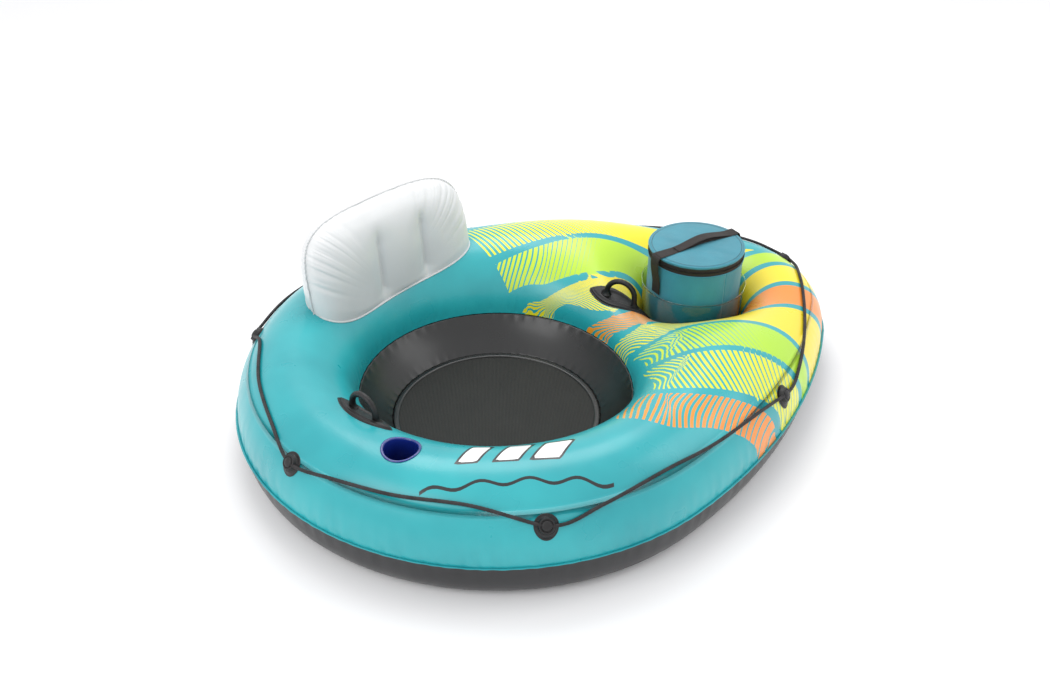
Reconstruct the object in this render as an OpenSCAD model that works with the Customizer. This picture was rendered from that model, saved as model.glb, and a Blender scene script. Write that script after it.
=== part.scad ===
// Inflatable river lounge tube: an egg-shaped ring with a slung mesh seat, a backrest,
// two grab handles, a cup holder, an all-round grab rope and a lift-out cooler bag.
// Millimetres. +X runs along the ring to the cooler, -Y is the front, +Z is up,
// and the origin lies on the ground under the middle of the ring.

/* [Ring] */
// Overall length of the ring, along X
ring_length = 1520; // [1500:10:1560]
// Radius of the wide end, round the seat
wide_end_r = 610; // [600:5:620]
// Radius of the narrow end, round the cooler
narrow_end_r = 320; // [310:5:330]
// Radius of the two flanks that join the ends
flank_r = 1390; // [1300:10:1500]
// Height of the weld seams above the ground
seam_z = 100; // [95:1:105]
// Rise of the top skin, against a truly round tube
rise = 1.12; // [1.05:0.01:1.15]
// Thickness of the ring's skins
skin_t = 1; // [0.8:0.1:1.2]
// Width of the welded edge that stands out round the ring
weld_w = 6; // [4:1:8]

/* [Seat] */
// Middle of the seat hole, along X
seat_x = -160; // [-165:1:-155]
// Radius of the seat hole at its seam
seat_r = 325; // [320:1:330]
// Turn of the sitter's own axes from the ring's axes, in degrees
seat_turn = 16; // [10:1:20]
// Radius of the mesh floor
mesh_r = 242; // [236:1:246]
// Height of the mesh floor's edge
mesh_z = 22; // [20:1:26]
// Sag of the mesh floor in the middle
mesh_sag = 8; // [4:1:10]

/* [Backrest] */
// Half of the backrest's width
back_half_w = 251; // [246:1:254]
// Height of the backrest's crown above the ground
back_top_z = 444; // [430:1:460]
// Distance from the seat's middle to the middle of the backrest's foot
back_y = 439; // [437:1:442]
// Half of the backrest's thickness at its foot
back_half_t = 85; // [80:1:86]
// Narrowing of the backrest from foot to crown, as a share
back_taper = 0.23; // [0.15:0.01:0.3]
// Place of the left inner rib, from the backrest's middle
rib_left_x = -38; // [-45:1:-30]
// Place of the right inner rib, from the backrest's middle
rib_right_x = 98; // [90:1:105]

/* [Handles and cup holder] */
// Distance of each handle from the seat's middle
handle_reach = 397; // [394:1:402]
// Length of a handle's leaf-shaped foot
handle_l = 162; // [150:1:170]
// Width of a handle's leaf-shaped foot
handle_w = 56; // [50:1:60]
// Radius of the arch of a handle, along its middle
grip_arch_r = 37; // [34:1:40]
// Radius of the handle's bar
grip_bar_r = 7; // [6:0.5:8]
// Inner radius of the cup holder
cup_r = 36; // [35:0.5:40]
// Depth of the cup holder
cup_depth = 92; // [80:1:100]

/* [Grab rope] */
// Diameter of the rope
rope_d = 8; // [6:0.5:9]
// Radius of a rope guide's foot
guide_r = 25; // [23:0.5:27]

/* [Cooler] */
// Middle of the cooler, along X
cooler_x = 420; // [416:1:424]
// Radius of the cooler's hole in the ring
cooler_hole_r = 126; // [125:0.5:128]
// Outer radius of the cooler bag
bag_r = 118; // [116:0.5:119]
// Height of the top of the lid above the ground
lid_z = 317; // [312:1:320]
// Width of the carry strap
strap_w = 32; // [28:1:36]

/* [Hidden] */

$fn = 96;
teal = "#3fc0c6";
pvc_black = "#2b2a2e";
moulded_black = "#262426";
fabric_teal = "#3fa3b5";
webbing_black = "#2a221e";

// The outline is four tangent arcs: a wide end, a narrow end and two flanks
wide_x = -ring_length / 2 + wide_end_r;
narrow_x = ring_length / 2 - narrow_end_r;
wide_reach = flank_r - wide_end_r;
narrow_reach = flank_r - narrow_end_r;
ends_gap = narrow_x - wide_x;
flank_x = wide_x + (wide_reach^2 - narrow_reach^2 + ends_gap^2) / (2 * ends_gap);
flank_y = sqrt(wide_reach^2 - (flank_x - wide_x)^2);
narrow_angle = atan2(flank_y, narrow_x - flank_x);
wide_angle = atan2(flank_y, wide_x - flank_x);
seat_c = [seat_x, 0];
cooler_c = [cooler_x, 0];

function arc_point(x, y, r, a) = [x + r * cos(a), y + r * sin(a)];

// Point of the outline whose outward direction is a degrees from +X
function outline(a, inset = 0) =
    let (
        turn = a > 180 ? a - 360 : a,
        s = abs(turn),
        p = s < narrow_angle ? arc_point(narrow_x, 0, narrow_end_r - inset, s)
            : s < wide_angle ? arc_point(flank_x, -flank_y, flank_r - inset, s)
            : arc_point(wide_x, 0, wide_end_r - inset, s)
    )
    [p[0], turn < 0 ? -p[1] : p[1]];

function to_outline(p) =
    let (
        y = abs(p[1]),
        a = atan2(y + flank_y, p[0] - flank_x)
    )
    a < narrow_angle ? narrow_end_r - norm([p[0] - narrow_x, y])
    : a > wide_angle ? wide_end_r - norm([p[0] - wide_x, y])
    : flank_r - norm([p[0] - flank_x, y + flank_y]);

// Height of the inflated top skin over the seam plane: round across the tube
// between any two edges, and blended where the three edges meet
function tube_rise(p, inset = 0) =
    let (
        a = to_outline(p) - inset,
        b = norm(p - seat_c) - seat_r - inset,
        c = norm(p - cooler_c) - cooler_hole_r - inset
    )
    min(a, b, c) <= 0 ? 0 : rise * sqrt(a * b * c / norm([a, b, c]));

function skin_z(p) = seam_z + tube_rise(p);

// The bottom skin bulges down from the seams and rests flat on the ground
foot_fullness = 1.12;
function belly_depth(h, limit) = min(limit, foot_fullness * seam_z * h / (h^4 + seam_z^4)^0.25);

// Outward tilt and heading of the top skin's surface at p
slope_step = 1;
function slope(p) = [
    (tube_rise(p + [slope_step, 0]) - tube_rise(p - [slope_step, 0])) / (2 * slope_step),
    (tube_rise(p + [0, slope_step]) - tube_rise(p - [0, slope_step])) / (2 * slope_step)
];
module on_skin(p) {
    g = slope(p);
    translate([p[0], p[1], skin_z(p)]) rotate([0, atan(norm(g)), atan2(-g[1], -g[0])]) children();
}

function seat_point(x, y) = [
    seat_x + x * cos(seat_turn) - y * sin(seat_turn),
    x * sin(seat_turn) + y * cos(seat_turn)
];
module seat_frame() {
    translate([seat_x, 0, 0]) rotate(seat_turn) children();
}

// ---- Ring skins: bands that follow the outline, then two cells of rays, one round each
// hole, that share a dividing line ----
narrow_len = narrow_end_r * narrow_angle * PI / 180;
flank_len = flank_r * (wide_angle - narrow_angle) * PI / 180;
half_len = narrow_len + flank_len + wide_end_r * (180 - wide_angle) * PI / 180;
// Direction of the outline after going a length along it from the narrow end's middle
function angle_at(l) =
    l < 0 ? -angle_at(-l)
    : l > half_len ? 360 - angle_at(2 * half_len - l)
    : l < narrow_len ? l / narrow_len * narrow_angle
    : l < narrow_len + flank_len ? narrow_angle + (l - narrow_len) / flank_r * 180 / PI
    : wide_angle + (l - narrow_len - flank_len) / wide_end_r * 180 / PI;

divide_len = 780;
divide_a = angle_at(divide_len);
bands = [0, 2.5, 9, 20];
band_in = 36;
divide_end = outline(divide_a, band_in);
wide_n = 56;
narrow_n = 34;
divide_n = 24;
across_n = 8;
edge_n = wide_n + narrow_n;
left_n = wide_n + divide_n;
right_n = narrow_n + divide_n;
border_n = edge_n + divide_n - 1;

function edge_point(i, inset) = outline(
    i <= wide_n ? angle_at(divide_len + 2 * (half_len - divide_len) * i / wide_n)
    : angle_at(divide_len * (2 * (i - wide_n) / narrow_n - 1)),
    inset
);
function border(i, inset) =
    i < edge_n ? edge_point(i, inset + band_in)
    : [divide_end[0], divide_end[1] * (2 * (i - edge_n + 1) / divide_n - 1)];

// Which border point each ray of a cell ends on, counted anticlockwise
function left_end(i) = i <= wide_n ? i : edge_n + i - wide_n - 1;
function right_end(i) = i < narrow_n ? wide_n + i : i == narrow_n ? 0 : border_n - (i - narrow_n);

// Spacing along a ray is closest at the hole, where the skin is steepest
function ray_share(j) = 1 - cos(90 * j / across_n);
function ray_point(c, r, q, share) =
    let (from = c + r * (q - c) / norm(q - c)) from + (q - from) * share;
function cell_points(c, r, ends, inset) = [
    for (e = ends)
        for (j = [0 : across_n - 1])
            ray_point(c, r + inset, border(e, inset), ray_share(j))
];

left_ends = [for (i = [0 : left_n - 1]) left_end(i)];
right_ends = [for (i = [0 : right_n - 1]) right_end(i)];
band_n = len(bands) * edge_n;
function plan_points(inset) = concat(
    [for (band = bands) for (i = [0 : edge_n - 1]) edge_point(i, inset + band)],
    [for (i = [0 : border_n - 1]) border(i, inset)],
    cell_points(seat_c, seat_r, left_ends, inset),
    cell_points(cooler_c, cooler_hole_r, right_ends, inset)
);
sheet_n = band_n + border_n + (left_n + right_n) * across_n;

band_faces = [
    for (k = [0 : len(bands) - 1])
        for (i = [0 : edge_n - 1])
            let (
                a = k * edge_n + i,
                b = k * edge_n + (i + 1) % edge_n
            )
            each [[a + edge_n, b + edge_n, b], [a + edge_n, b, a]]
];
function cell_index(first, ends, i, j) =
    let (k = i % len(ends)) j == across_n ? band_n + ends[k] : first + k * across_n + j;
function cell_faces(first, ends) = [
    for (i = [0 : len(ends) - 1])
        for (j = [0 : across_n - 1])
            let (
                a = cell_index(first, ends, i, j),
                b = cell_index(first, ends, i + 1, j),
                c = cell_index(first, ends, i + 1, j + 1),
                d = cell_index(first, ends, i, j + 1)
            )
            each [[a, b, c], [a, c, d]]
];
function flip(faces) = [for (f = faces) [f[2], f[1], f[0]]];
function lift(faces, by) = [for (f = faces) f + [by, by, by]];
// Faces between a closed loop on the outer sheet and the same loop on the inner sheet
function loop_faces(loop, by) = [
    for (i = [0 : len(loop) - 1])
        let (a = loop[i], b = loop[(i + 1) % len(loop)])
        each [[a, b, b + by], [a, b + by, a + by]]
];
left_first = band_n + border_n;
right_first = left_first + left_n * across_n;
sheet_faces = concat(band_faces, cell_faces(left_first, left_ends), cell_faces(right_first, right_ends));
edge_loop = [for (i = [0 : edge_n - 1]) i];
seat_loop = [for (i = [0 : left_n - 1]) left_first + i * across_n];
cooler_loop = [for (i = [0 : right_n - 1]) right_first + i * across_n];
shell_faces = concat(
    sheet_faces, lift(flip(sheet_faces), sheet_n),
    loop_faces(edge_loop, sheet_n), flip(loop_faces(seat_loop, sheet_n)), flip(loop_faces(cooler_loop, sheet_n))
);

function top_points(inset) = [for (p = plan_points(inset)) [p[0], p[1], seam_z + tube_rise(p, inset)]];
function belly_points(inset) = [
    for (p = plan_points(inset))
        [p[0], p[1], seam_z - belly_depth(tube_rise(p, inset), seam_z - inset)]
];

// ---- Places on the ring ----
cup_p = [-534, -268];
handle_p = [seat_point(-handle_reach, 0), [238, 60]];
handle_turn = [seat_turn - 90, -57];
valve_p = seat_point(200, 508);
valve_hole_r = 17;
cup_wall = 1.5;
cup_hole_gap = 0.6;
// The cup's rim is level with the lowest edge of its hole in the skin
cup_rim_z = min([for (a = [0 : 30 : 330]) skin_z(cup_p + (cup_r + cup_wall) * [cos(a), sin(a)])]) - 1;

module top_skin() {
    color(teal) difference() {
        polyhedron(concat(top_points(0), top_points(skin_t)), shell_faces, 4);
        translate([cup_p[0], cup_p[1], seam_z + 40]) cylinder(r = cup_r + cup_wall + cup_hole_gap, h = 200);
        on_skin(valve_p) translate([0, 0, -15]) cylinder(r = valve_hole_r, h = 30);
    }
}

module bottom_skin() {
    color(pvc_black) polyhedron(concat(belly_points(0), belly_points(skin_t)), flip(shell_faces), 4);
}

// The welded edge is a flat band just outside the outline
weld_t = 1.4;
weld_gap = 0.2;
module outline_area(inset) {
    polygon([for (a = [-178 : 2 : 180]) outline(a, inset)]);
}
module outer_weld_seam() {
    color(teal) translate([0, 0, seam_z - weld_t / 2]) linear_extrude(weld_t) difference() {
        outline_area(-weld_w);
        outline_area(-weld_gap);
    }
}

// ---- Slung seat: a sloping skirt from the inner seam down to a mesh floor ----
mesh_t = 1.2;
ring_weld_w = 12;
ring_weld_t = 2;
skirt_t = 1;
skirt_belly = 6;
skirt_n = 10;
mesh_n = 10;
function skirt_line(s, off) = [
    mesh_r + 6 + (seat_r - mesh_r - 8) * s + skirt_belly * sin(180 * s) + off,
    mesh_z + (seam_z - mesh_z - 1) * s
];
module seat_skirt() {
    color("#252523") translate([seat_x, 0, 0]) rotate_extrude() polygon(concat(
        [for (i = [0 : skirt_n]) skirt_line(i / skirt_n, 0)],
        [for (i = [skirt_n : -1 : 0]) skirt_line(i / skirt_n, skirt_t)]
    ));
}
function mesh_line(s, off) = [mesh_r * s, mesh_z - mesh_sag * (1 - s^2) + off];
module seat_mesh() {
    color("#35352f") translate([seat_x, 0, 0]) rotate_extrude() polygon(concat(
        [for (i = [0 : mesh_n]) mesh_line(i / mesh_n, -mesh_t)],
        [for (i = [mesh_n : -1 : 0]) mesh_line(i / mesh_n, 0)]
    ));
}
module mesh_weld_ring() {
    color("#252523") translate([seat_x, 0, mesh_z + 0.3]) rotate_extrude()
        translate([mesh_r - ring_weld_w / 2, 0]) square([ring_weld_w, ring_weld_t]);
}

// ---- Backrest: two panels welded round a squared oval. It bends round the seat hole, most
// at its foot, which follows the ring ----
back_x = 20;
back_mid_z = 200;
back_h = back_top_z - back_mid_z;
back_square = 4.6;
back_crown = 4.5;
back_lean = -11;
back_foot_bend_r = 460;
back_crown_bend_r = 1150;
back_t = 1.2;
back_gap = 3.2;
back_seam_gap = 0.6;
back_ray_n = 24;
back_ring_n = 8;
function back_u(a, s, inset) = s * (back_half_w - inset) * sign(cos(a)) * abs(cos(a))^(2 / back_square);
function back_v(a, s, inset) = s * (back_h - inset) * abs(sin(a))^(2 / back_square);
function back_share(x, v) = ((abs(x) / back_half_w)^back_square + (v / back_h)^back_square)^(1 / back_square);
function back_depth(s, v, inset) =
    (back_half_t * (1 - back_taper * v / back_h) - inset) * sqrt(max(0, 1 - s^back_crown));
// The middle surface between the two panels
function back_mid_y(x, v) = let (up = v / back_h)
    back_y + back_lean * up - ((1 - up) / back_foot_bend_r + up / back_crown_bend_r) * x^2 / 2;
// Point at x from the backrest's middle, v up it and off from its middle surface
function back_point(x, v, off) = let (
    y = back_mid_y(x, v) + off,
    foot = skin_z(seat_point(x + back_x, y)) + back_gap
) [x + back_x, y, foot + (back_top_z - foot) * v / back_h];
function back_sheet(side, inset) = [
    back_point(0, 0, side * back_depth(0, 0, inset)),
    for (i = [0 : back_ray_n])
        for (j = [1 : back_ring_n])
            let (
                a = 180 * i / back_ray_n,
                s = j / back_ring_n,
                v = back_v(a, s, inset)
            )
            back_point(back_u(a, s, inset), v, side * (back_seam_gap + back_depth(s, v, inset)))
];
back_n = 1 + (back_ray_n + 1) * back_ring_n;
function back_index(i, j) = j == 0 ? 0 : 1 + i * back_ring_n + j - 1;
back_sheet_faces = [
    for (i = [0 : back_ray_n - 1])
        for (j = [0 : back_ring_n - 1])
            let (
                a = back_index(i, j),
                b = back_index(i, j + 1),
                c = back_index(i + 1, j + 1),
                d = back_index(i + 1, j)
            )
            each j == 0 ? [[a, b, c]] : [[a, b, c], [a, c, d]]
];
// The rim goes out along the foot, over the crown and back in along the foot
back_loop = concat(
    [for (j = [0 : back_ring_n]) back_index(0, j)],
    [for (i = [1 : back_ray_n]) back_index(i, back_ring_n)],
    [for (j = [back_ring_n - 1 : -1 : 1]) back_index(back_ray_n, j)]
);
back_faces = concat(
    back_sheet_faces, lift(flip(back_sheet_faces), back_n), flip(loop_faces(back_loop, back_n))
);
module backrest_front_panel() {
    color("white") seat_frame() polyhedron(concat(back_sheet(-1, 0), back_sheet(-1, back_t)), flip(back_faces), 4);
}
module backrest_rear_panel() {
    color("white") seat_frame() difference() {
        polyhedron(concat(back_sheet(1, 0), back_sheet(1, back_t)), back_faces, 4);
        back_valve_frame() translate([0, 0, -20]) cylinder(r = stem_r + 0.5, h = 40);
    }
}
// The welded rim: a thin band on the middle surface, just outside the panels
rim_w = 5;
rim_t = 1;
rim_n = 72;
rim_corners = [[0.3, -1], [rim_w, -1], [rim_w, 1], [0.3, 1]];
module backrest_weld_seam() {
    points = [
        for (i = [0 : rim_n])
            for (c = rim_corners)
                let (a = 180 * i / rim_n)
                back_point(back_u(a, 1, -c[0]), back_v(a, 1, -c[0]), c[1] * rim_t / 2)
    ];
    sides = [
        for (i = [0 : rim_n - 1])
            for (k = [0 : 3])
                let (
                    a = 4 * i + k,
                    b = 4 * i + (k + 1) % 4
                )
                each [[a, b, b + 4], [a, b + 4, a + 4]]
    ];
    color("white") seat_frame() polyhedron(
        points, flip(concat(sides, [[3, 2, 1], [3, 1, 0]], lift([[0, 1, 2], [0, 2, 3]], 4 * rim_n))), 4
    );
}
// A rib is a flat web that ties the two panels together along a crease
module back_rib(x) {
    rib_n = 10;
    rib_t = 1;
    rib_reach = 0.84;
    rib_gap = 2.8;
    foot_v = 10;
    reach = [
        for (i = [0 : rib_n])
            let (v = foot_v + (back_h * rib_reach - foot_v) * i / rib_n)
            [v, back_depth(back_share(x, v), v, back_t) - rib_gap]
    ];
    edge = concat(
        [for (r = reach) [r[0], -r[1]]],
        [for (i = [rib_n : -1 : 0]) [reach[i][0], reach[i][1]]],
        [for (i = [rib_n - 1 : -1 : 1 - rib_n]) [foot_v, reach[0][1] * i / rib_n]]
    );
    points = [for (e = edge) back_point(x, e[0], e[1])];
    color("white") seat_frame() translate([x + back_x - rib_t / 2, 0, 0]) rotate([90, 0, 90])
        linear_extrude(rib_t) polygon([for (p = points) [p[1], p[2]]]);
}
module backrest_rib_left() {
    back_rib(rib_left_x);
}
module backrest_rib_right() {
    back_rib(rib_right_x);
}

// ---- Small valve on the back of the backrest ----
stem_r = 6;
stem_bore_r = 4;
back_cap_r = 8;
back_hinge_x = 12;
back_valve_at = [130, 60];
function back_rear(x, v) = back_point(x, v, back_depth(back_share(x, v), v, 0));
// The valve stands square to the rear panel, with its hinge below it
module back_valve_frame() {
    x = back_valve_at[0];
    v = back_valve_at[1];
    n = cross(back_rear(x, v + 1) - back_rear(x, v - 1), back_rear(x + 1, v) - back_rear(x - 1, v));
    translate(back_rear(x, v) + n / norm(n)) rotate([0, acos(n[2] / norm(n)), atan2(n[1], n[0])]) children();
}
module backrest_valve_stem() {
    color("white") seat_frame() back_valve_frame() difference() {
        union() {
            translate([0, 0, 3]) cylinder(r = 10, h = 1.4);
            translate([0, 0, -14]) cylinder(r = stem_r, h = 20);
        }
        translate([0, 0, -15]) cylinder(r = stem_bore_r, h = 30);
    }
}
module backrest_valve_cap() {
    color("white") seat_frame() back_valve_frame() {
        translate([0, 0, 6.4]) cylinder(r = back_cap_r, h = 2.4);
        translate([0, -2.5, 6.4]) cube([back_hinge_x, 5, 1.2]);
        translate([back_hinge_x, 0, 6.4]) rotate([90, 0, 0]) cylinder(r = 1.1, h = 5, center = true);
    }
}

// ---- Handles: a leaf-shaped foot that follows the skin, with an upright arch over it ----
leaf_gap = 1.8;
patch_t = 0.8;
patch_gap = 0.9;
handle_t = 3;
grip_rise = 15;
grip_leg = 3;
grip_sides = 12;
grip_arch_n = 16;
leaf_long_n = 18;
leaf_wide_n = 6;
leaf_arc_r = (handle_l^2 / 4 + handle_w^2 / 4) / handle_w;
function leaf_half_w(s, grow) = max(0.5, sqrt(leaf_arc_r^2 - s^2) - leaf_arc_r + handle_w / 2 + grow);
function leaf_sheet(side, z_off, grow) = let (
    at = handle_p[side],
    turn = handle_turn[side],
    along = [cos(turn), sin(turn)],
    out = [sin(turn), -cos(turn)],
    half_l = handle_l / 2 + grow / 2
) [
    for (i = [0 : leaf_long_n])
        for (j = [0 : leaf_wide_n])
            let (
                s = half_l * (2 * i / leaf_long_n - 1),
                w = leaf_half_w(min(abs(s), handle_l / 2), grow) * (2 * j / leaf_wide_n - 1),
                p = at + along * s + out * w
            )
            [p[0], p[1], skin_z(p) + z_off]
];
leaf_n = (leaf_long_n + 1) * (leaf_wide_n + 1);
function leaf_index(i, j) = i * (leaf_wide_n + 1) + j;
leaf_sheet_faces = [
    for (i = [0 : leaf_long_n - 1])
        for (j = [0 : leaf_wide_n - 1])
            let (
                a = leaf_index(i, j),
                b = leaf_index(i + 1, j),
                c = leaf_index(i + 1, j + 1),
                d = leaf_index(i, j + 1)
            )
            each [[a, b, c], [a, c, d]]
];
leaf_loop = concat(
    [for (i = [0 : leaf_long_n]) leaf_index(i, 0)],
    [for (j = [1 : leaf_wide_n]) leaf_index(leaf_long_n, j)],
    [for (i = [leaf_long_n - 1 : -1 : 0]) leaf_index(i, leaf_wide_n)],
    [for (j = [leaf_wide_n - 1 : -1 : 1]) leaf_index(0, j)]
);
leaf_faces = concat(
    leaf_sheet_faces, lift(flip(leaf_sheet_faces), leaf_n), flip(loop_faces(leaf_loop, leaf_n))
);
module leaf(side, low, high, grow) {
    polyhedron(concat(leaf_sheet(side, high, grow), leaf_sheet(side, low, grow)), leaf_faces, 4);
}
module handle_patch(side) {
    color(moulded_black) leaf(side, leaf_gap, leaf_gap + patch_t, 3);
}
// The grip is a round bar up one leg, over the arch and down the other leg
function grip_ring(side, a) = let (turn = handle_turn[side]) [
    for (m = [0 : grip_sides - 1])
        let (
            q = 360 * m / grip_sides,
            s = (grip_arch_r + grip_bar_r * cos(q)) * cos(a),
            w = grip_bar_r * sin(q)
        )
        [
            handle_p[side][0] + s * cos(turn) - w * sin(turn),
            handle_p[side][1] + s * sin(turn) + w * cos(turn),
            (grip_arch_r + grip_bar_r * cos(q)) * sin(a)
        ]
];
// A foot is cut to the skin's slope and ends inside the leaf
function grip_foot(side, a) = [
    for (p = grip_ring(side, a))
        [p[0], p[1], skin_z(p) + leaf_gap + (patch_t + patch_gap + handle_t) / 2]
];
module handle(side) {
    feet = [grip_foot(side, 180), grip_foot(side, 0)];
    feet_z = [for (foot = feet) each [for (p = foot) p[2]]];
    arch_z = max(skin_z(handle_p[side]) + grip_rise, max(feet_z) + grip_leg);
    arch = [
        for (i = [grip_arch_n : -1 : 0])
            [for (p = grip_ring(side, 180 * i / grip_arch_n)) p + [0, 0, arch_z]]
    ];
    rings = concat([feet[0]], arch, [feet[1]]);
    last = (len(rings) - 1) * grip_sides;
    walls = [
        for (k = [0 : len(rings) - 2])
            for (m = [0 : grip_sides - 1])
                let (
                    a = k * grip_sides + m,
                    b = k * grip_sides + (m + 1) % grip_sides
                )
                each [[a, b, b + grip_sides], [a, b + grip_sides, a + grip_sides]]
    ];
    caps = [for (m = [1 : grip_sides - 2]) each [[0, m + 1, m], [last, last + m, last + m + 1]]];
    color(moulded_black) {
        leaf(side, leaf_gap + patch_t + patch_gap, leaf_gap + patch_t + handle_t, 0);
        polyhedron([for (r = rings) each r], concat(walls, caps), 4);
    }
}
module left_handle() {
    handle(0);
}
module left_handle_patch() {
    handle_patch(0);
}
module right_handle() {
    handle(1);
}
module right_handle_patch() {
    handle_patch(1);
}

module cup_holder() {
    floor_z = cup_rim_z - cup_depth;
    color("#1c2f7a") translate([cup_p[0], cup_p[1], floor_z - cup_wall]) difference() {
        cylinder(r = cup_r + cup_wall, h = cup_depth + cup_wall);
        translate([0, 0, cup_wall]) cylinder(r = cup_r, h = cup_depth + 1);
    }
}

// ---- Grab rope: one closed loop that rests on the skin and threads seven guides ----
// Plan points of the route, four to each span: a guide first, then three between
rope_route = [
    [-716, -128], [-672, -230], [-594, -346], [-492, -444],
    [-366, -546], [-250, -568], [-100, -562], [80, -532],
    [316, -456], [420, -392], [545, -272], [662, -128],
    [730, 0], [662, 128], [545, 272], [424, 388],
    [320, 454], [200, 496], [60, 530], [-70, 568],
    [-200, 592], [-320, 560], [-420, 518], [-520, 444],
    [-606, 360], [-625, 278], [-682, 132], [-710, -16]
];
guide_every = 4;
rope_parts = 3;
rope_sides = 8;
route_n = len(rope_route);
ring_n = route_n * rope_parts;
rope_lift = 1.2;
guide_lift = 4.6;
bore_room = 2.5;
knot_at = 63;
knot_r = 7.6;
function route_at(i) = rope_route[(i + route_n) % route_n];
// Smooth curve through the route's points
function bend(a, b, c, d, t) =
    0.5 * (2 * b + (c - a) * t + (2 * a - 5 * b + 4 * c - d) * t^2 + (3 * b - a - 3 * c + d) * t^3);
function rope_plan(k) = let (i = floor(k / rope_parts), t = k / rope_parts - i)
    bend(route_at(i - 1), route_at(i), route_at(i + 1), route_at(i + 2), t);
// Each guide holds the rope a little off the skin, and so does the knot
function from_guide(k) = let (m = k % (guide_every * rope_parts)) min(m, guide_every * rope_parts - m);
function rope_point(k) = let (
    p = rope_plan(k),
    held = from_guide(k) < 2 || k == knot_at || k == knot_at + 1 ? guide_lift : 0,
    g = slope(p),
    n = [-g[0], -g[1], 1] / norm([g[0], g[1], 1])
) [p[0], p[1], skin_z(p)] + n * (rope_d / 2 + rope_lift + held);
rope_line = [for (k = [0 : ring_n - 1]) rope_point(k)];
function unit(v) = v / norm(v);
function rope_ring(k) = let (
    ahead = unit(rope_line[(k + 1) % ring_n] - rope_line[(k + ring_n - 1) % ring_n]),
    side = unit(cross(ahead, [0, 0, 1])),
    up = cross(side, ahead)
) [
    for (m = [0 : rope_sides - 1])
        rope_line[k] + rope_d / 2 * (side * cos(360 * m / rope_sides) + up * sin(360 * m / rope_sides))
];
module grab_rope() {
    points = [for (k = [0 : ring_n - 1]) each rope_ring(k)];
    faces = [
        for (k = [0 : ring_n - 1])
            for (m = [0 : rope_sides - 1])
                let (
                    next_k = (k + 1) % ring_n,
                    next_m = (m + 1) % rope_sides,
                    a = k * rope_sides + m,
                    b = k * rope_sides + next_m,
                    c = next_k * rope_sides + next_m,
                    d = next_k * rope_sides + m
                )
                each [[a, b, c], [a, c, d]]
    ];
    color("#1d1a1a") polyhedron(points, faces, 4);
}
// The ends of the rope meet in a knot behind the backrest
module rope_knot() {
    a = rope_line[knot_at];
    b = rope_line[knot_at + 1];
    d = b - a;
    color("#1d1a1a") translate((a + b) / 2) rotate([0, acos(d[2] / norm(d)), atan2(d[1], d[0])]) difference() {
        sphere(knot_r);
        translate([0, 0, -20]) cylinder(r = rope_d / 2 + 0.3, h = 40);
    }
}

// A guide is a round foot under a ringed boss with a cross hole for the rope
module rope_guide(i) {
    foot_t = 1.5;
    boss_r = 16;
    boss_h = 17;
    at = i * guide_every * rope_parts;
    after = rope_line[at + 1];
    before = rope_line[(at + ring_n - 1) % ring_n];
    ahead = after - before;
    // The bore lies a little inside the rope's bend
    bore_at = rope_line[at] * 0.82 + (before + after) * 0.09;
    color(moulded_black) difference() {
        on_skin(rope_route[i * guide_every]) {
            translate([0, 0, 0.5]) cylinder(r = guide_r, h = foot_t);
            translate([0, 0, 0.5]) cylinder(r1 = boss_r, r2 = boss_r - 3, h = boss_h);
        }
        translate(bore_at)
            rotate([0, acos(ahead[2] / norm(ahead)), atan2(ahead[1], ahead[0])])
                cylinder(r = rope_d / 2 + bore_room, h = 90, center = true);
    }
}
module rope_guide_1() {
    rope_guide(0);
}
module rope_guide_2() {
    rope_guide(1);
}
module rope_guide_3() {
    rope_guide(2);
}
module rope_guide_4() {
    rope_guide(3);
}
module rope_guide_5() {
    rope_guide(4);
}
module rope_guide_6() {
    rope_guide(5);
}
module rope_guide_7() {
    rope_guide(6);
}

// ---- Main valve behind the backrest ----
collar_r = 16.4;
collar_bore_r = 12;
valve_hinge_x = 22;
module main_valve_base() {
    color(teal) on_skin(valve_p) difference() {
        union() {
            translate([0, 0, 0.6]) cylinder(r = 20, h = 1.6);
            translate([0, 0, -14]) cylinder(r = collar_r, h = 17);
        }
        translate([0, 0, -15]) cylinder(r = collar_bore_r, h = 30);
    }
}
module main_valve_insert() {
    color(moulded_black) on_skin(valve_p) difference() {
        translate([0, 0, -12]) cylinder(r = collar_bore_r - 0.1, h = 14);
        translate([0, 0, -13]) cylinder(r = 9, h = 11);
        for (a = [0 : 60 : 300])
            rotate(a) translate([5.4, 0, -13]) cylinder(r = 2, h = 20);
    }
}
module main_valve_flap() {
    color("#3a3a3a") on_skin(valve_p) translate([0, 0, -13.2]) cylinder(r = 11, h = 0.9);
}
module main_valve_cap() {
    color(teal) on_skin(valve_p) {
        translate([0, 0, 3.4]) cylinder(r = 15, h = 3);
        translate([0, -5, 3.4]) cube([valve_hinge_x, 10, 1.4]);
        translate([valve_hinge_x, 0, 3.4]) rotate([90, 0, 0]) cylinder(r = 1.3, h = 10, center = true);
    }
}

// ---- Cooler: a clear socket in the ring, and a round insulated bag with a zipped lid ----
socket_t = 1;
socket_floor_z = 20;
socket_r = cooler_hole_r - 2;
socket_top_z = 214;
socket_flare = 6;
bag_z = socket_floor_z + socket_t + 0.6;
seam_zip_z = lid_z - 17;
fabric_t = 1.2;
foam_t = 6;
liner_t = 0.8;
tape_h = 10;
layer_gap = 0.3;
zip_gap = 0.3;

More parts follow.
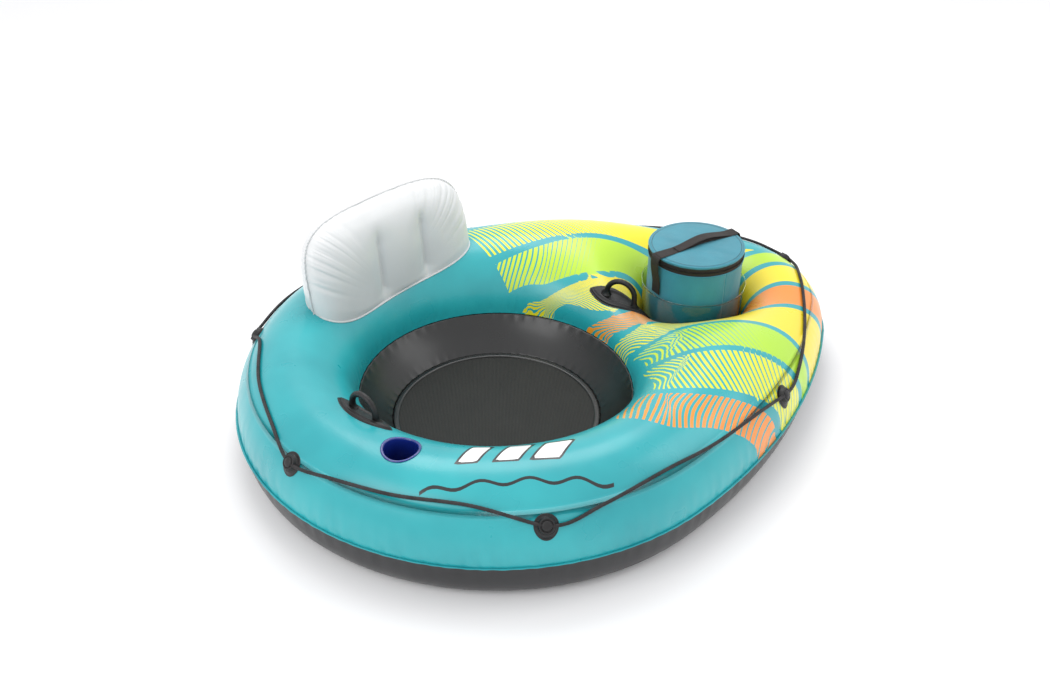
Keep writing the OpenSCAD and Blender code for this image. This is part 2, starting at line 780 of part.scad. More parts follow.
module at_cooler() {
    translate([cooler_x, 0, 0]) children();
}
module tube_wall(r_out, t, z0, z1) {
    translate([0, 0, z0]) difference() {
        cylinder(r = r_out, h = z1 - z0);
        translate([0, 0, -1]) cylinder(r = r_out - t, h = z1 - z0 + 2);
    }
}
module cooler_socket() {
    straight_z = seam_z + 20;
    color("#dfeef0", 0.4) at_cooler() rotate_extrude() polygon([
        [0, socket_floor_z], [socket_r + socket_t, socket_floor_z],
        [socket_r + socket_t, straight_z], [socket_r + socket_t + socket_flare, socket_top_z],
        [socket_r + socket_flare, socket_top_z], [socket_r, straight_z],
        [socket_r, socket_floor_z + socket_t], [0, socket_floor_z + socket_t]
    ]);
}
module bag_shell() {
    color(fabric_teal) at_cooler() translate([0, 0, bag_z]) difference() {
        cylinder(r = bag_r, h = seam_zip_z - tape_h - bag_z - layer_gap);
        translate([0, 0, fabric_t]) cylinder(r = bag_r - fabric_t, h = 400);
    }
}
module bag_base_piping() {
    color(webbing_black) at_cooler() translate([0, 0, bag_z + 3]) rotate_extrude()
        translate([bag_r + 2.1, 0]) circle(2);
}
foam_r = bag_r - fabric_t - layer_gap;
foam_z = bag_z + fabric_t + layer_gap;
liner_r = foam_r - foam_t - layer_gap;
module bag_foam_sleeve() {
    color("#e6e6e0") at_cooler() tube_wall(foam_r, foam_t, foam_z, seam_zip_z - tape_h - 1);
}
module bag_foam_base() {
    color("#e6e6e0") at_cooler() translate([0, 0, foam_z]) cylinder(r = liner_r, h = foam_t);
}
module bag_liner() {
    liner_z = foam_z + foam_t + layer_gap;
    color("#c9ccd0") at_cooler() translate([0, 0, liner_z]) difference() {
        cylinder(r = liner_r, h = seam_zip_z - 2 - liner_z);
        translate([0, 0, liner_t]) cylinder(r = liner_r - liner_t, h = 400);
    }
}
module zip_tape_lower() {
    color(webbing_black) at_cooler() tube_wall(bag_r, fabric_t, seam_zip_z - tape_h, seam_zip_z - zip_gap);
}
module zip_tape_upper() {
    color(webbing_black) at_cooler() tube_wall(bag_r, fabric_t, seam_zip_z + zip_gap, seam_zip_z + tape_h);
}
// The zip runs round the front and stops short of the hinge at the back
zip_end_a = 130;
zip_span = 280;
teeth_t = 1.4;
teeth_h = 1.6;
module zip_teeth(z) {
    color(webbing_black) at_cooler() translate([0, 0, z]) rotate(zip_end_a) rotate_extrude(angle = zip_span)
        translate([bag_r + layer_gap, 0]) square([teeth_t, teeth_h]);
}
module zip_teeth_lower() {
    zip_teeth(seam_zip_z - zip_gap - teeth_h);
}
module zip_teeth_upper() {
    zip_teeth(seam_zip_z + zip_gap);
}
// The slider waits at the closed end of the zip
slider_a = 45;
slider_in = bag_r + 2.2;
slider_w = 9;
slider_h = 13;
slider_t = 2.6;
tab_l = 26;
module at_slider() {
    at_cooler() rotate(slider_a) translate([slider_in, 0, seam_zip_z]) children();
}
module zip_slider() {
    color("#4a4a4c") at_slider() {
        translate([0, -slider_w / 2, -slider_h / 2]) cube([slider_t, slider_w, slider_h]);
        translate([slider_t, -2, 1]) cube([1.6, 1, 3]);
        translate([slider_t, 1, 1]) cube([1.6, 1, 3]);
    }
}
module zip_pull_tab() {
    color("#4a4a4c") at_slider() {
        translate([slider_t + 1.1, 0, 2.5]) rotate([90, 0, 0]) cylinder(r = 0.9, h = 1.6, center = true, $fn = 24);
        translate([slider_t + 0.5, -0.8, 2.5 - tab_l]) cube([1.2, 1.6, tab_l]);
        translate([slider_t + 0.5, -3.5, 2.5 - tab_l]) cube([1.2, 7, tab_l - 7]);
    }
}
lid_r = bag_r - fabric_t - layer_gap;
lid_foam_z = lid_z - fabric_t - foam_t - layer_gap;
module lid_panel() {
    color(fabric_teal) at_cooler() translate([0, 0, lid_z - fabric_t]) cylinder(r = lid_r, h = fabric_t);
}
module lid_piping() {
    color(fabric_teal) at_cooler() translate([0, 0, seam_zip_z + tape_h + 2.4]) rotate_extrude()
        translate([bag_r + 0.8, 0]) circle(2);
}
module lid_foam() {
    color("#e6e6e0") at_cooler() translate([0, 0, lid_foam_z]) cylinder(r = lid_r, h = foam_t);
}
module lid_liner() {
    color("#c9ccd0") at_cooler() translate([0, 0, lid_foam_z - layer_gap - liner_t])
        cylinder(r = lid_r, h = liner_t);
}

// ---- Carry strap: webbing sewn to the bag at both ends, lying slack over the lid ----
strap_t = 2;
strap_off = 10;
strap_end_z = 213;
strap_rest_z = lid_z + 1;
strap_bow = 5;
strap_n = 16;
// The top run lifts off with the lid, so it ends just past the lid's edge
strap_split = bag_r + 2.8;
// Side view of the strap's top run: a low bow that lies on the lid
function strap_top_line(s, off) = [strap_split * (2 * s - 1), strap_rest_z + strap_bow * sin(180 * s) + off];
module strap_profile(points) {
    at_cooler() translate([0, strap_w / 2, 0]) rotate([90, 0, 0]) linear_extrude(strap_w) polygon(points);
}
module carry_strap_top() {
    color(webbing_black) strap_profile(concat(
        [for (i = [0 : strap_n]) strap_top_line(i / strap_n, 0)],
        [for (i = [strap_n : -1 : 0]) strap_top_line(i / strap_n, strap_t)]
    ));
}
// Side view of a sewn end: up the side of the bag, clear of the zip, to the lid's edge
function strap_end_line(off) = [
    [bag_r + 0.6 + off, strap_end_z], [bag_r + 0.8 + off, strap_end_z + 34],
    [bag_r + strap_off + off, seam_zip_z - 18], [bag_r + strap_off + off, seam_zip_z + 12],
    [bag_r + strap_off - 3 + off * 0.7, strap_rest_z - 1 + off * 0.7],
    [strap_split + 0.4, strap_rest_z + off * 0.9]
];
module strap_end(side) {
    near = strap_end_line(0);
    far = strap_end_line(strap_t);
    line = concat(near, [for (i = [len(far) - 1 : -1 : 0]) far[i]]);
    color(webbing_black) strap_profile([for (p = line) [side * p[0], p[1]]]);
}
module carry_strap_inner_end() {
    strap_end(-1);
}
module carry_strap_outer_end() {
    strap_end(1);
}

top_skin();
bottom_skin();
outer_weld_seam();
seat_skirt();
seat_mesh();
mesh_weld_ring();
backrest_front_panel();
backrest_rear_panel();
backrest_weld_seam();
backrest_rib_left();
backrest_rib_right();
backrest_valve_stem();
backrest_valve_cap();
left_handle();
left_handle_patch();
right_handle();
right_handle_patch();
cup_holder();
grab_rope();
rope_knot();
rope_guide_1();
rope_guide_2();
rope_guide_3();
rope_guide_4();
rope_guide_5();
rope_guide_6();
rope_guide_7();
main_valve_base();
main_valve_insert();
main_valve_flap();
main_valve_cap();
cooler_socket();
bag_shell();
bag_base_piping();
bag_foam_sleeve();
bag_foam_base();
bag_liner();
zip_tape_lower();
zip_teeth_lower();
zip_slider();
zip_pull_tab();
zip_tape_upper();
zip_teeth_upper();
lid_panel();
lid_piping();
lid_foam();
lid_liner();
carry_strap_top();
carry_strap_inner_end();
carry_strap_outer_end();
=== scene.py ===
import math

import bpy
import numpy as np
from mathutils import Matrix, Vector


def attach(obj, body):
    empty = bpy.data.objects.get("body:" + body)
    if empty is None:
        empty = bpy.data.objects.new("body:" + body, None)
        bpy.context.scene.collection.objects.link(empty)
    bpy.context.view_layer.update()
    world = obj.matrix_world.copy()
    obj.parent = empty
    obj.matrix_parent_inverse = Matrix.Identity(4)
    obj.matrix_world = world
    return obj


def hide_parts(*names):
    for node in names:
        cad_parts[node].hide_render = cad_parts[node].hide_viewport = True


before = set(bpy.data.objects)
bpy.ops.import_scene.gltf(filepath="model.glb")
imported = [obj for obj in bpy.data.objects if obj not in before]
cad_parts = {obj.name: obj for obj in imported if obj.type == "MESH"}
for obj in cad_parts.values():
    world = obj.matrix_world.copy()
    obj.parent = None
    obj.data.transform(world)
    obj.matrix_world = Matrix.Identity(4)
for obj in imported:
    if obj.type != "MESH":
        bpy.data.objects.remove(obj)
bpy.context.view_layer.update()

# ---------------------------------------------------------------- the maker's sizes, in metres
# The ring's outline is four tangent arcs: a wide end, a narrow end and two flanks
RING_LENGTH, WIDE_R, NARROW_R, FLANK_R = 1.520, 0.610, 0.320, 1.390
SEAM_Z, RISE = 0.100, 1.12
SEAT = np.array([-0.160, 0.0])
SEAT_R = 0.325
COOLER = np.array([0.420, 0.0])
COOLER_HOLE_R = 0.126
SEAT_TURN = math.radians(16)
MESH_R, MESH_Z, MESH_SAG = 0.242, 0.022, 0.008
# The backrest's middle surface leans and bends round the seat hole, most at its foot
BACK_X, BACK_HALF_W, BACK_TOP_Z, BACK_Y, BACK_HALF_T = 0.020, 0.251, 0.444, 0.439, 0.085
BACK_H, BACK_SQUARE, BACK_CROWN, BACK_TAPER, BACK_LEAN = 0.244, 4.6, 4.5, 0.23, -0.011
BACK_FOOT_BEND, BACK_CROWN_BEND = 0.460, 1.150
RIBS = (-0.038, 0.098)
HANDLE_REACH, HANDLE_L, HANDLE_W = 0.397, 0.162, 0.056
RIGHT_HANDLE = np.array([0.238, 0.060])
HANDLE_TURNS = (SEAT_TURN - math.pi / 2, math.radians(-57))
GRIP_ARCH_R, GRIP_BAR_R, GRIP_RISE, GRIP_LEG = 0.037, 0.007, 0.015, 0.0072
CUP = np.array([-0.534, -0.268])
CUP_R, CUP_DEPTH = 0.036, 0.092
VALVE = (0.200, 0.508)
ROPE_D = 0.008
GUIDE_R = 0.025
BAG_R, BAG_Z, ZIP_Z, LID_Z, TAPE_H = 0.118, 0.0216, 0.300, 0.317, 0.010
SOCKET_R, SOCKET_TOP_Z = 0.124, 0.214
STRAP_W = 0.032

# The rope's route: a guide, then three points to the next guide
ROPE_ROUTE = [
    (-716, -128), (-672, -230), (-594, -346), (-492, -444),
    (-366, -546), (-250, -568), (-100, -562), (80, -532),
    (316, -456), (420, -392), (545, -272), (662, -128),
    (730, 0), (662, 128), (545, 272), (424, 388),
    (320, 454), (200, 496), (60, 530), (-70, 568),
    (-200, 592), (-320, 560), (-420, 518), (-520, 444),
    (-606, 360), (-625, 278), (-682, 132), (-710, -16),
]

# ---------------------------------------------------------------- camera, floor and light
lens = bpy.data.cameras.new("studio_camera")
camera = bpy.data.objects.new("studio_camera", lens)
bpy.context.scene.collection.objects.link(camera)
bpy.context.scene.camera = camera
stand = Vector((-1.2519, -1.9194, 1.6939))
camera.location = stand
camera.rotation_mode = "QUATERNION"
camera.rotation_quaternion = (Vector((-0.0323, 0.0787, 0.10)) - stand).to_track_quat("-Z", "Y")
lens.sensor_width = 36
lens.lens = 39.28
lens.shift_y = 0.00375
lens.clip_start, lens.clip_end = 0.05, 60

bpy.context.scene.view_settings.view_transform = "Standard"


def linear(hex_colour):
    """An sRGB hex colour as linear red, green, blue and alpha."""
    parts = [int(hex_colour[i : i + 2], 16) / 255 for i in (1, 3, 5)]
    return tuple(c / 12.92 if c <= 0.04045 else ((c + 0.055) / 1.055) ** 2.4 for c in parts) + (1.0,)


def add(tree, kind, settings=None, links=None):
    """Adds a node with its settings, which are inputs or properties, and its links."""
    node = tree.nodes.new(kind)
    for name, value in (settings or {}).items():
        if isinstance(name, str) and hasattr(node, name):
            setattr(node, name, value)
        else:
            node.inputs[name].default_value = value
    for name, source in (links or {}).items():
        tree.links.new(source, node.inputs[name])
    return node


def new_material(name):
    material = bpy.data.materials.new(name)
    material.use_nodes = True
    material.node_tree.nodes.clear()
    return material, material.node_tree


def close(tree, shader):
    add(tree, "ShaderNodeOutputMaterial", links={"Surface": shader.outputs[0]})


# ---------------------------------------------------------------- the shape of the ring
WIDE_X = -RING_LENGTH / 2 + WIDE_R
NARROW_X = RING_LENGTH / 2 - NARROW_R
WIDE_REACH, NARROW_REACH, ENDS_GAP = FLANK_R - WIDE_R, FLANK_R - NARROW_R, NARROW_X - WIDE_X
FLANK_X = WIDE_X + (WIDE_REACH**2 - NARROW_REACH**2 + ENDS_GAP**2) / (2 * ENDS_GAP)
FLANK_Y = math.sqrt(WIDE_REACH**2 - (FLANK_X - WIDE_X) ** 2)
NARROW_A = math.atan2(FLANK_Y, NARROW_X - FLANK_X)
WIDE_A = math.atan2(FLANK_Y, WIDE_X - FLANK_X)
NARROW_LEN = NARROW_R * NARROW_A
FLANK_LEN = FLANK_R * (WIDE_A - NARROW_A)
HALF_LEN = NARROW_LEN + FLANK_LEN + WIDE_R * (math.pi - WIDE_A)


def outline(length, inset=0.0):
    """The plan point a length along the outline from the narrow end's middle, moved in by inset."""
    way = (length + HALF_LEN) % (2 * HALF_LEN) - HALF_LEN
    gone = abs(way)
    if gone < NARROW_LEN:
        x, y, r, a = NARROW_X, 0.0, NARROW_R, gone / NARROW_R
    elif gone < NARROW_LEN + FLANK_LEN:
        x, y, r, a = FLANK_X, -FLANK_Y, FLANK_R, NARROW_A + (gone - NARROW_LEN) / FLANK_R
    else:
        x, y, r, a = WIDE_X, 0.0, WIDE_R, WIDE_A + (gone - NARROW_LEN - FLANK_LEN) / WIDE_R
    px, py = x + (r - inset) * math.cos(a), y + (r - inset) * math.sin(a)
    return np.array([px, py if way >= 0 else -py])


def to_outline(p):
    """How far plan points p lie inside the outline, and how far round it they are."""
    x, y = p[..., 0], np.abs(p[..., 1])
    a = np.arctan2(y + FLANK_Y, x - FLANK_X)
    narrow = NARROW_R - np.hypot(x - NARROW_X, y)
    wide = WIDE_R - np.hypot(x - WIDE_X, y)
    flank = FLANK_R - np.hypot(x - FLANK_X, y + FLANK_Y)
    inside = np.where(a < NARROW_A, narrow, np.where(a > WIDE_A, wide, flank))
    round_narrow = NARROW_R * np.arctan2(y, x - NARROW_X)
    round_flank = NARROW_LEN + FLANK_R * (a - NARROW_A)
    round_wide = NARROW_LEN + FLANK_LEN + WIDE_R * (np.arctan2(y, x - WIDE_X) - WIDE_A)
    along = np.where(a < NARROW_A, round_narrow, np.where(a > WIDE_A, round_wide, round_flank))
    return inside, np.where(p[..., 1] >= 0, along, -along)


def tube_rise(p):
    """Height of the inflated top skin over the seams at plan points p."""
    p = np.asarray(p, dtype=float)
    a = to_outline(p)[0]
    b = np.hypot(p[..., 0] - SEAT[0], p[..., 1] - SEAT[1]) - SEAT_R
    c = np.hypot(p[..., 0] - COOLER[0], p[..., 1] - COOLER[1]) - COOLER_HOLE_R
    inside = np.minimum(np.minimum(a, b), c) > 1e-9
    a, b, c = (np.where(inside, v, 1.0) for v in (a, b, c))
    return np.where(inside, RISE * np.sqrt(a * b * c / np.sqrt(a * a + b * b + c * c)), 0.0)


def skin_z(p):
    return SEAM_Z + tube_rise(p)


def skin_normal(p, step=0.001):
    p = np.asarray(p, dtype=float)
    gx = (tube_rise(p + [step, 0]) - tube_rise(p - [step, 0])) / (2 * step)
    gy = (tube_rise(p + [0, step]) - tube_rise(p - [0, step])) / (2 * step)
    n = np.stack([-gx, -gy, np.ones_like(gx)], axis=-1)
    return n / np.linalg.norm(n, axis=-1, keepdims=True)


def skin_frame(p):
    """Place and axes of the skin at p: x points down the slope, z out of the skin."""
    n = skin_normal(p)
    flat = math.hypot(n[0], n[1])
    down = np.array([n[0], n[1], 0.0]) / flat if flat > 1e-6 else np.array([1.0, 0.0, 0.0])
    side = np.cross(n, down)
    side /= np.linalg.norm(side)
    return np.array([p[0], p[1], float(skin_z(p))]), np.array([np.cross(side, n), side, n])


def seat_point(x, y):
    c, s = math.cos(SEAT_TURN), math.sin(SEAT_TURN)
    return np.stack([SEAT[0] + x * c - y * s, x * s + y * c], axis=-1)


def smooth(low, high, value):
    t = np.clip((value - low) / (high - low), 0, 1)
    return t * t * (3 - 2 * t)


def wobble(t, seed):
    """An uneven wave from -1 to 1 along t, in turns."""
    tau = 2 * math.pi
    return (
        0.5 * np.sin(tau * t + seed)
        + 0.3 * np.sin(tau * t * 1.618 + 2.1 * seed)
        + 0.2 * np.sin(tau * t * 2.414 + 3.7 * seed)
    )


# ---------------------------------------------------------------- making meshes
def mesh_piece(name, points, faces, material, body, stands_for=(), slot=None, rounded=True):
    mesh = bpy.data.meshes.new(name)
    mesh.from_pydata([tuple(map(float, p)) for p in points], [], [tuple(map(int, f)) for f in faces])
    mesh.update()
    if rounded:
        mesh.polygons.foreach_set("use_smooth", [True] * len(mesh.polygons))
    piece = bpy.data.objects.new(name, mesh)
    bpy.context.scene.collection.objects.link(piece)
    mesh.materials.append(material)
    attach(piece, body)
    if stands_for:
        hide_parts(*stands_for)
    return piece


def grid_faces(rows, cols, first=0, wrap_rows=False, wrap_cols=False, flip=False):
    """Quads of a grid of points stored row by row."""
    i = np.arange(rows if wrap_rows else rows - 1)
    j = np.arange(cols if wrap_cols else cols - 1)
    i, j = (v.ravel() for v in np.meshgrid(i, j, indexing="ij"))
    a = first + i * cols + j
    b = first + i * cols + (j + 1) % cols
    c = first + ((i + 1) % rows) * cols + (j + 1) % cols
    d = first + ((i + 1) % rows) * cols + j
    quads = np.stack([a, b, c, d], axis=1)
    return quads[:, ::-1] if flip else quads


def keep_float(piece, name, values):
    """Stores a number or a vector on each point, for the print or the weave to read."""
    values = np.asarray(values, dtype=np.float32)
    kind, key = ("FLOAT_VECTOR", "vector") if values.ndim == 2 else ("FLOAT", "value")
    piece.data.attributes.new(name, kind, "POINT").data.foreach_set(key, values.ravel())


def add_modifier(piece, kind, **settings):
    modifier = piece.modifiers.new(kind.lower(), kind)
    for key, value in settings.items():
        setattr(modifier, key, value)
    return modifier


def apply_modifiers(piece):
    depsgraph = bpy.context.evaluated_depsgraph_get()
    done = bpy.data.meshes.new_from_object(piece.evaluated_get(depsgraph))
    piece.modifiers.clear()
    old, piece.data = piece.data, done
    bpy.data.meshes.remove(old)


def revolve(name, profile, material, body, middle=(0, 0), turns=96, ripple=None, **rest):
    """Turns a profile of (radius, height) points round an upright line, with an optional ripple."""
    profile = np.asarray(profile, dtype=float)
    a = np.linspace(0, 2 * math.pi, turns, endpoint=False)
    r = np.repeat(profile[None, :, 0], turns, axis=0)
    z = np.repeat(profile[None, :, 1], turns, axis=0)
    if ripple:
        r, z = ripple(a[:, None], r, z)
    x = middle[0] + r * np.cos(a)[:, None]
    y = middle[1] + r * np.sin(a)[:, None]
    points = np.stack([x, y, z], axis=-1).reshape(-1, 3)
    faces = grid_faces(turns, len(profile), wrap_rows=True, flip=True)
    return mesh_piece(name, points, faces, material, body, **rest)


def rounded_line(corners, step=0.002, radius=0.003):
    """A profile through the corners, with each inner corner rounded off."""
    corners = [np.asarray(c, dtype=float) for c in corners]
    line = [corners[0]]
    for before, here, after in zip(corners, corners[1:], corners[2:]):
        u, v = before - here, after - here
        lu, lv = np.linalg.norm(u), np.linalg.norm(v)
        cut = min(radius, lu * 0.45, lv * 0.45)
        start, end = here + u / lu * cut, here + v / lv * cut
        for t in np.linspace(0, 1, 5):
            line.append((1 - t) ** 2 * start + 2 * t * (1 - t) * here + t * t * end)
    line.append(corners[-1])
    full = [line[0]]
    for a, b in zip(line, line[1:]):
        count = max(1, int(np.linalg.norm(b - a) / step))
        full += [a + (b - a) * k / count for k in range(1, count + 1)]
    return np.array(full)


def tube_along(points, radius, sides=12, closed=False, flat=1.0, up=(0, 0, 1)):
    """Rings of a tube along points; radius may change along it and the tube may be flattened."""
    points = np.asarray(points, dtype=float)
    n = len(points)
    if closed:
        ahead = np.roll(points, -1, axis=0) - np.roll(points, 1, axis=0)
    else:
        ahead = np.gradient(points, axis=0)
    ahead /= np.linalg.norm(ahead, axis=1, keepdims=True)
    up = np.broadcast_to(np.asarray(up, dtype=float), points.shape)
    side = np.cross(ahead, up)
    side /= np.linalg.norm(side, axis=1, keepdims=True)
    top = np.cross(side, ahead)
    a = np.linspace(0, 2 * math.pi, sides, endpoint=False)
    radius = np.broadcast_to(np.asarray(radius, dtype=float).reshape(-1, 1), (n, 1))
    rings = (
        points[:, None, :]
        + radius[:, :, None] * np.cos(a)[None, :, None] * side[:, None, :]
        + radius[:, :, None] * flat * np.sin(a)[None, :, None] * top[:, None, :]
    )
    faces = list(grid_faces(n, sides, wrap_rows=closed, wrap_cols=True))
    if not closed:
        faces += [tuple(range(sides)), tuple(range((n - 1) * sides, n * sides))[::-1]]
    return rings.reshape(-1, 3), faces


def smooth_route(points, per_span, closed):
    """A smooth curve through the points."""
    points = np.asarray(points, dtype=float)
    n = len(points)
    out = []
    for i in range(n if closed else n - 1):
        if closed:
            a, b, c, d = (points[(i + k) % n] for k in (-1, 0, 1, 2))
        else:
            a, b, c, d = (points[min(max(i + k, 0), n - 1)] for k in (-1, 0, 1, 2))
        for t in np.arange(per_span) / per_span:
            out.append(0.5 * (
                2 * b + (c - a) * t + (2 * a - 5 * b + 4 * c - d) * t**2 + (3 * b - a - 3 * c + d) * t**3
            ))
    if not closed:
        out.append(points[-1])
    return np.array(out)


# ---------------------------------------------------------------- materials
def surface_grain(tree, size_mm, strength, detail=2.0, coords="Object", stretch=(1, 1, 1)):
    """A fine uneven grain, as a bump from noise whose lumps are size_mm across."""
    place = add(tree, "ShaderNodeTexCoord")
    scaled = add(tree, "ShaderNodeMapping", {"Scale": stretch}, {"Vector": place.outputs[coords]})
    noise = add(
        tree, "ShaderNodeTexNoise", {"Scale": 1000 / size_mm, "Detail": detail},
        {"Vector": scaled.outputs[0]},
    )
    return add(
        tree, "ShaderNodeBump", {"Strength": strength, "Distance": 0.001}, {"Height": noise.outputs["Fac"]}
    )


def uneven(tree, scale, low, high, detail=3.0):
    """A slow change between two numbers across the surface, as handling and pressing leave."""
    place = add(tree, "ShaderNodeTexCoord")
    noise = add(
        tree, "ShaderNodeTexNoise", {"Scale": scale, "Detail": detail}, {"Vector": place.outputs["Object"]}
    )
    return add(
        tree, "ShaderNodeMapRange",
        {"From Min": 0.3, "From Max": 0.7, "To Min": low, "To Max": high},
        {"Value": noise.outputs["Fac"]},
    )


def two_tone(tree, factor, dark, light):
    return add(
        tree, "ShaderNodeMix", {"data_type": "RGBA", 6: linear(dark), 7: linear(light)}, {"Factor": factor}
    )


def pvc_film(name, dark, light, roughness=(0.24, 0.34), grain_mm=1.6, grain=0.12, coat=0.25):
    """Calendered PVC film, inflated tight: a soft wide shine, with the faint orange-peel that
    the calender's rolls leave and slow changes of tone where the film is stretched."""
    material, tree = new_material(name)
    tone = uneven(tree, 6, 0, 1)
    colour = two_tone(tree, tone.outputs[0], dark, light)
    rough = uneven(tree, 11, *roughness)
    bump = surface_grain(tree, grain_mm, grain)
    shader = add(
        tree, "ShaderNodeBsdfPrincipled", {"IOR": 1.53, "Coat Weight": coat, "Coat Roughness": 0.18},
        {"Base Color": colour.outputs[2], "Roughness": rough.outputs[0], "Normal": bump.outputs[0]},
    )
    close(tree, shader)
    return material


def moulded(name, dark, light, roughness, grain_mm, grain, coat=0.0):
    """Injection-moulded plastic or rubber from a spark-eroded tool: an even, fine dull grain."""
    material, tree = new_material(name)
    colour = two_tone(tree, uneven(tree, 40, 0, 1).outputs[0], dark, light)
    rough = uneven(tree, 60, *roughness)
    bump = surface_grain(tree, grain_mm, grain, detail=4)
    shader = add(
        tree, "ShaderNodeBsdfPrincipled", {"IOR": 1.5, "Coat Weight": coat, "Coat Roughness": 0.1},
        {"Base Color": colour.outputs[2], "Roughness": rough.outputs[0], "Normal": bump.outputs[0]},
    )
    close(tree, shader)
    return material


# Feathers printed on the ring, from the backrest's side round to the front: each is bounded by
# two quills, which show the bare teal film. Plan points of each quill, in millimetres.
QUILLS = [
    [(-60, 470), (140, 452), (330, 380), (520, 240), (640, 60), (700, 20)],
    [(-70, 352), (110, 318), (297, 255), (420, 176), (560, 60), (720, 0)],
    [(-180, 336), (45, 258), (120, 206), (231, 150), (330, 118), (470, 20), (590, -25), (700, -72)],
    [(60, 200), (130, 150), (178, 60), (230, 20), (400, -40), (560, -110), (655, -162), (720, -170)],
    [(120, 60), (165, -10), (200, -50), (300, -90), (430, -170), (560, -230), (660, -262)],
    [(140, -90), (175, -150), (242, -180), (330, -236), (400, -292), (450, -345), (480, -400)],
    [(110, -190), (125, -262), (192, -318), (270, -360), (350, -398), (440, -440)],
    [(20, -330), (30, -380), (80, -426), (160, -462), (240, -484), (330, -500)],
    [(-120, -380), (-84, -440), (-32, -500), (60, -524), (140, -540), (240, -548)],
]
# Each feather's tone where it is striped and where it has closed to solid ink, and how many
# metres along it the stripes begin and have closed
FEATHERS = [
    ("#e9e82c", "#f0df26", 0.05, 0.50),
    ("#dde73a", "#b4dc32", 0.02, 0.44),
    ("#f0ea2a", "#f2dc2a", 0.03, 0.50),
    ("#f2a32a", "#ef8f35", 0.02, 0.36),
    ("#e8e535", "#f2da2a", 0.02, 0.34),
    ("#cfe33a", "#aedc34", 0.02, 0.34),
    ("#dbe338", "#e8e32e", 0.02, 0.52),
    ("#ee9a33", "#f08a3a", 0.02, 0.52),
]


def feather_coordinates(p):
    """For plan points p: which feather and how far across it (as one number), how far along it
    and the distance to the nearest quill, in metres."""
    lines = [smooth_route(np.array(q) / 1000, 24, False) for q in QUILLS]
    signed, along = [], []
    for line in lines:
        ahead = np.gradient(line, axis=0)
        ahead /= np.linalg.norm(ahead, axis=1, keepdims=True)
        gone = np.concatenate([[0], np.cumsum(np.linalg.norm(np.diff(line, axis=0), axis=1))])
        near = np.empty(len(p), dtype=int)
        for k in range(0, len(p), 4000):
            gap = p[k : k + 4000, None, :] - line[None]
            near[k : k + 4000] = np.argmin((gap**2).sum(-1), axis=1)
        gap = p - line[near]
        lead = (gap * ahead[near]).sum(-1)
        below = gap[:, 1] * -ahead[near, 0] + gap[:, 0] * ahead[near, 1]
        signed.append(below)
        along.append(gone[near] + lead)
    signed, along = np.array(signed), np.array(along)
    stack = np.where(signed[0] < 0, signed[0] * 10, 0.0)
    share = along[0].copy()
    for k in range(len(lines) - 1):
        inside = (signed[k] >= 0) & (signed[k + 1] < 0)
        across = signed[k] / np.maximum(signed[k] - signed[k + 1], 1e-6)
        stack = np.where(inside, k + across, stack)
        share = np.where(inside, along[k] * (1 - across) + along[k + 1] * across, share)
    beyond = signed[-1] >= 0
    stack = np.where(beyond, len(lines) - 1 + signed[-1] * 10, stack)
    share = np.where(beyond, along[-1], share)
    return np.stack([stack, share, np.abs(signed).min(axis=0)], axis=-1)


def by_feather(tree, stack, colours):
    """Steps through one colour per feather, from the stack number."""
    share = add(
        tree, "ShaderNodeMath", {"operation": "DIVIDE", 1: len(colours)}, {0: stack}
    )
    ramp = add(tree, "ShaderNodeValToRGB", links={"Fac": share.outputs[0]})
    ramp.color_ramp.interpolation = "CONSTANT"
    while len(ramp.color_ramp.elements) < len(colours):
        ramp.color_ramp.elements.new(0.5)
    for k, (element, colour) in enumerate(zip(ramp.color_ramp.elements, colours)):
        element.position = k / len(colours)
        element.color = colour
    return ramp


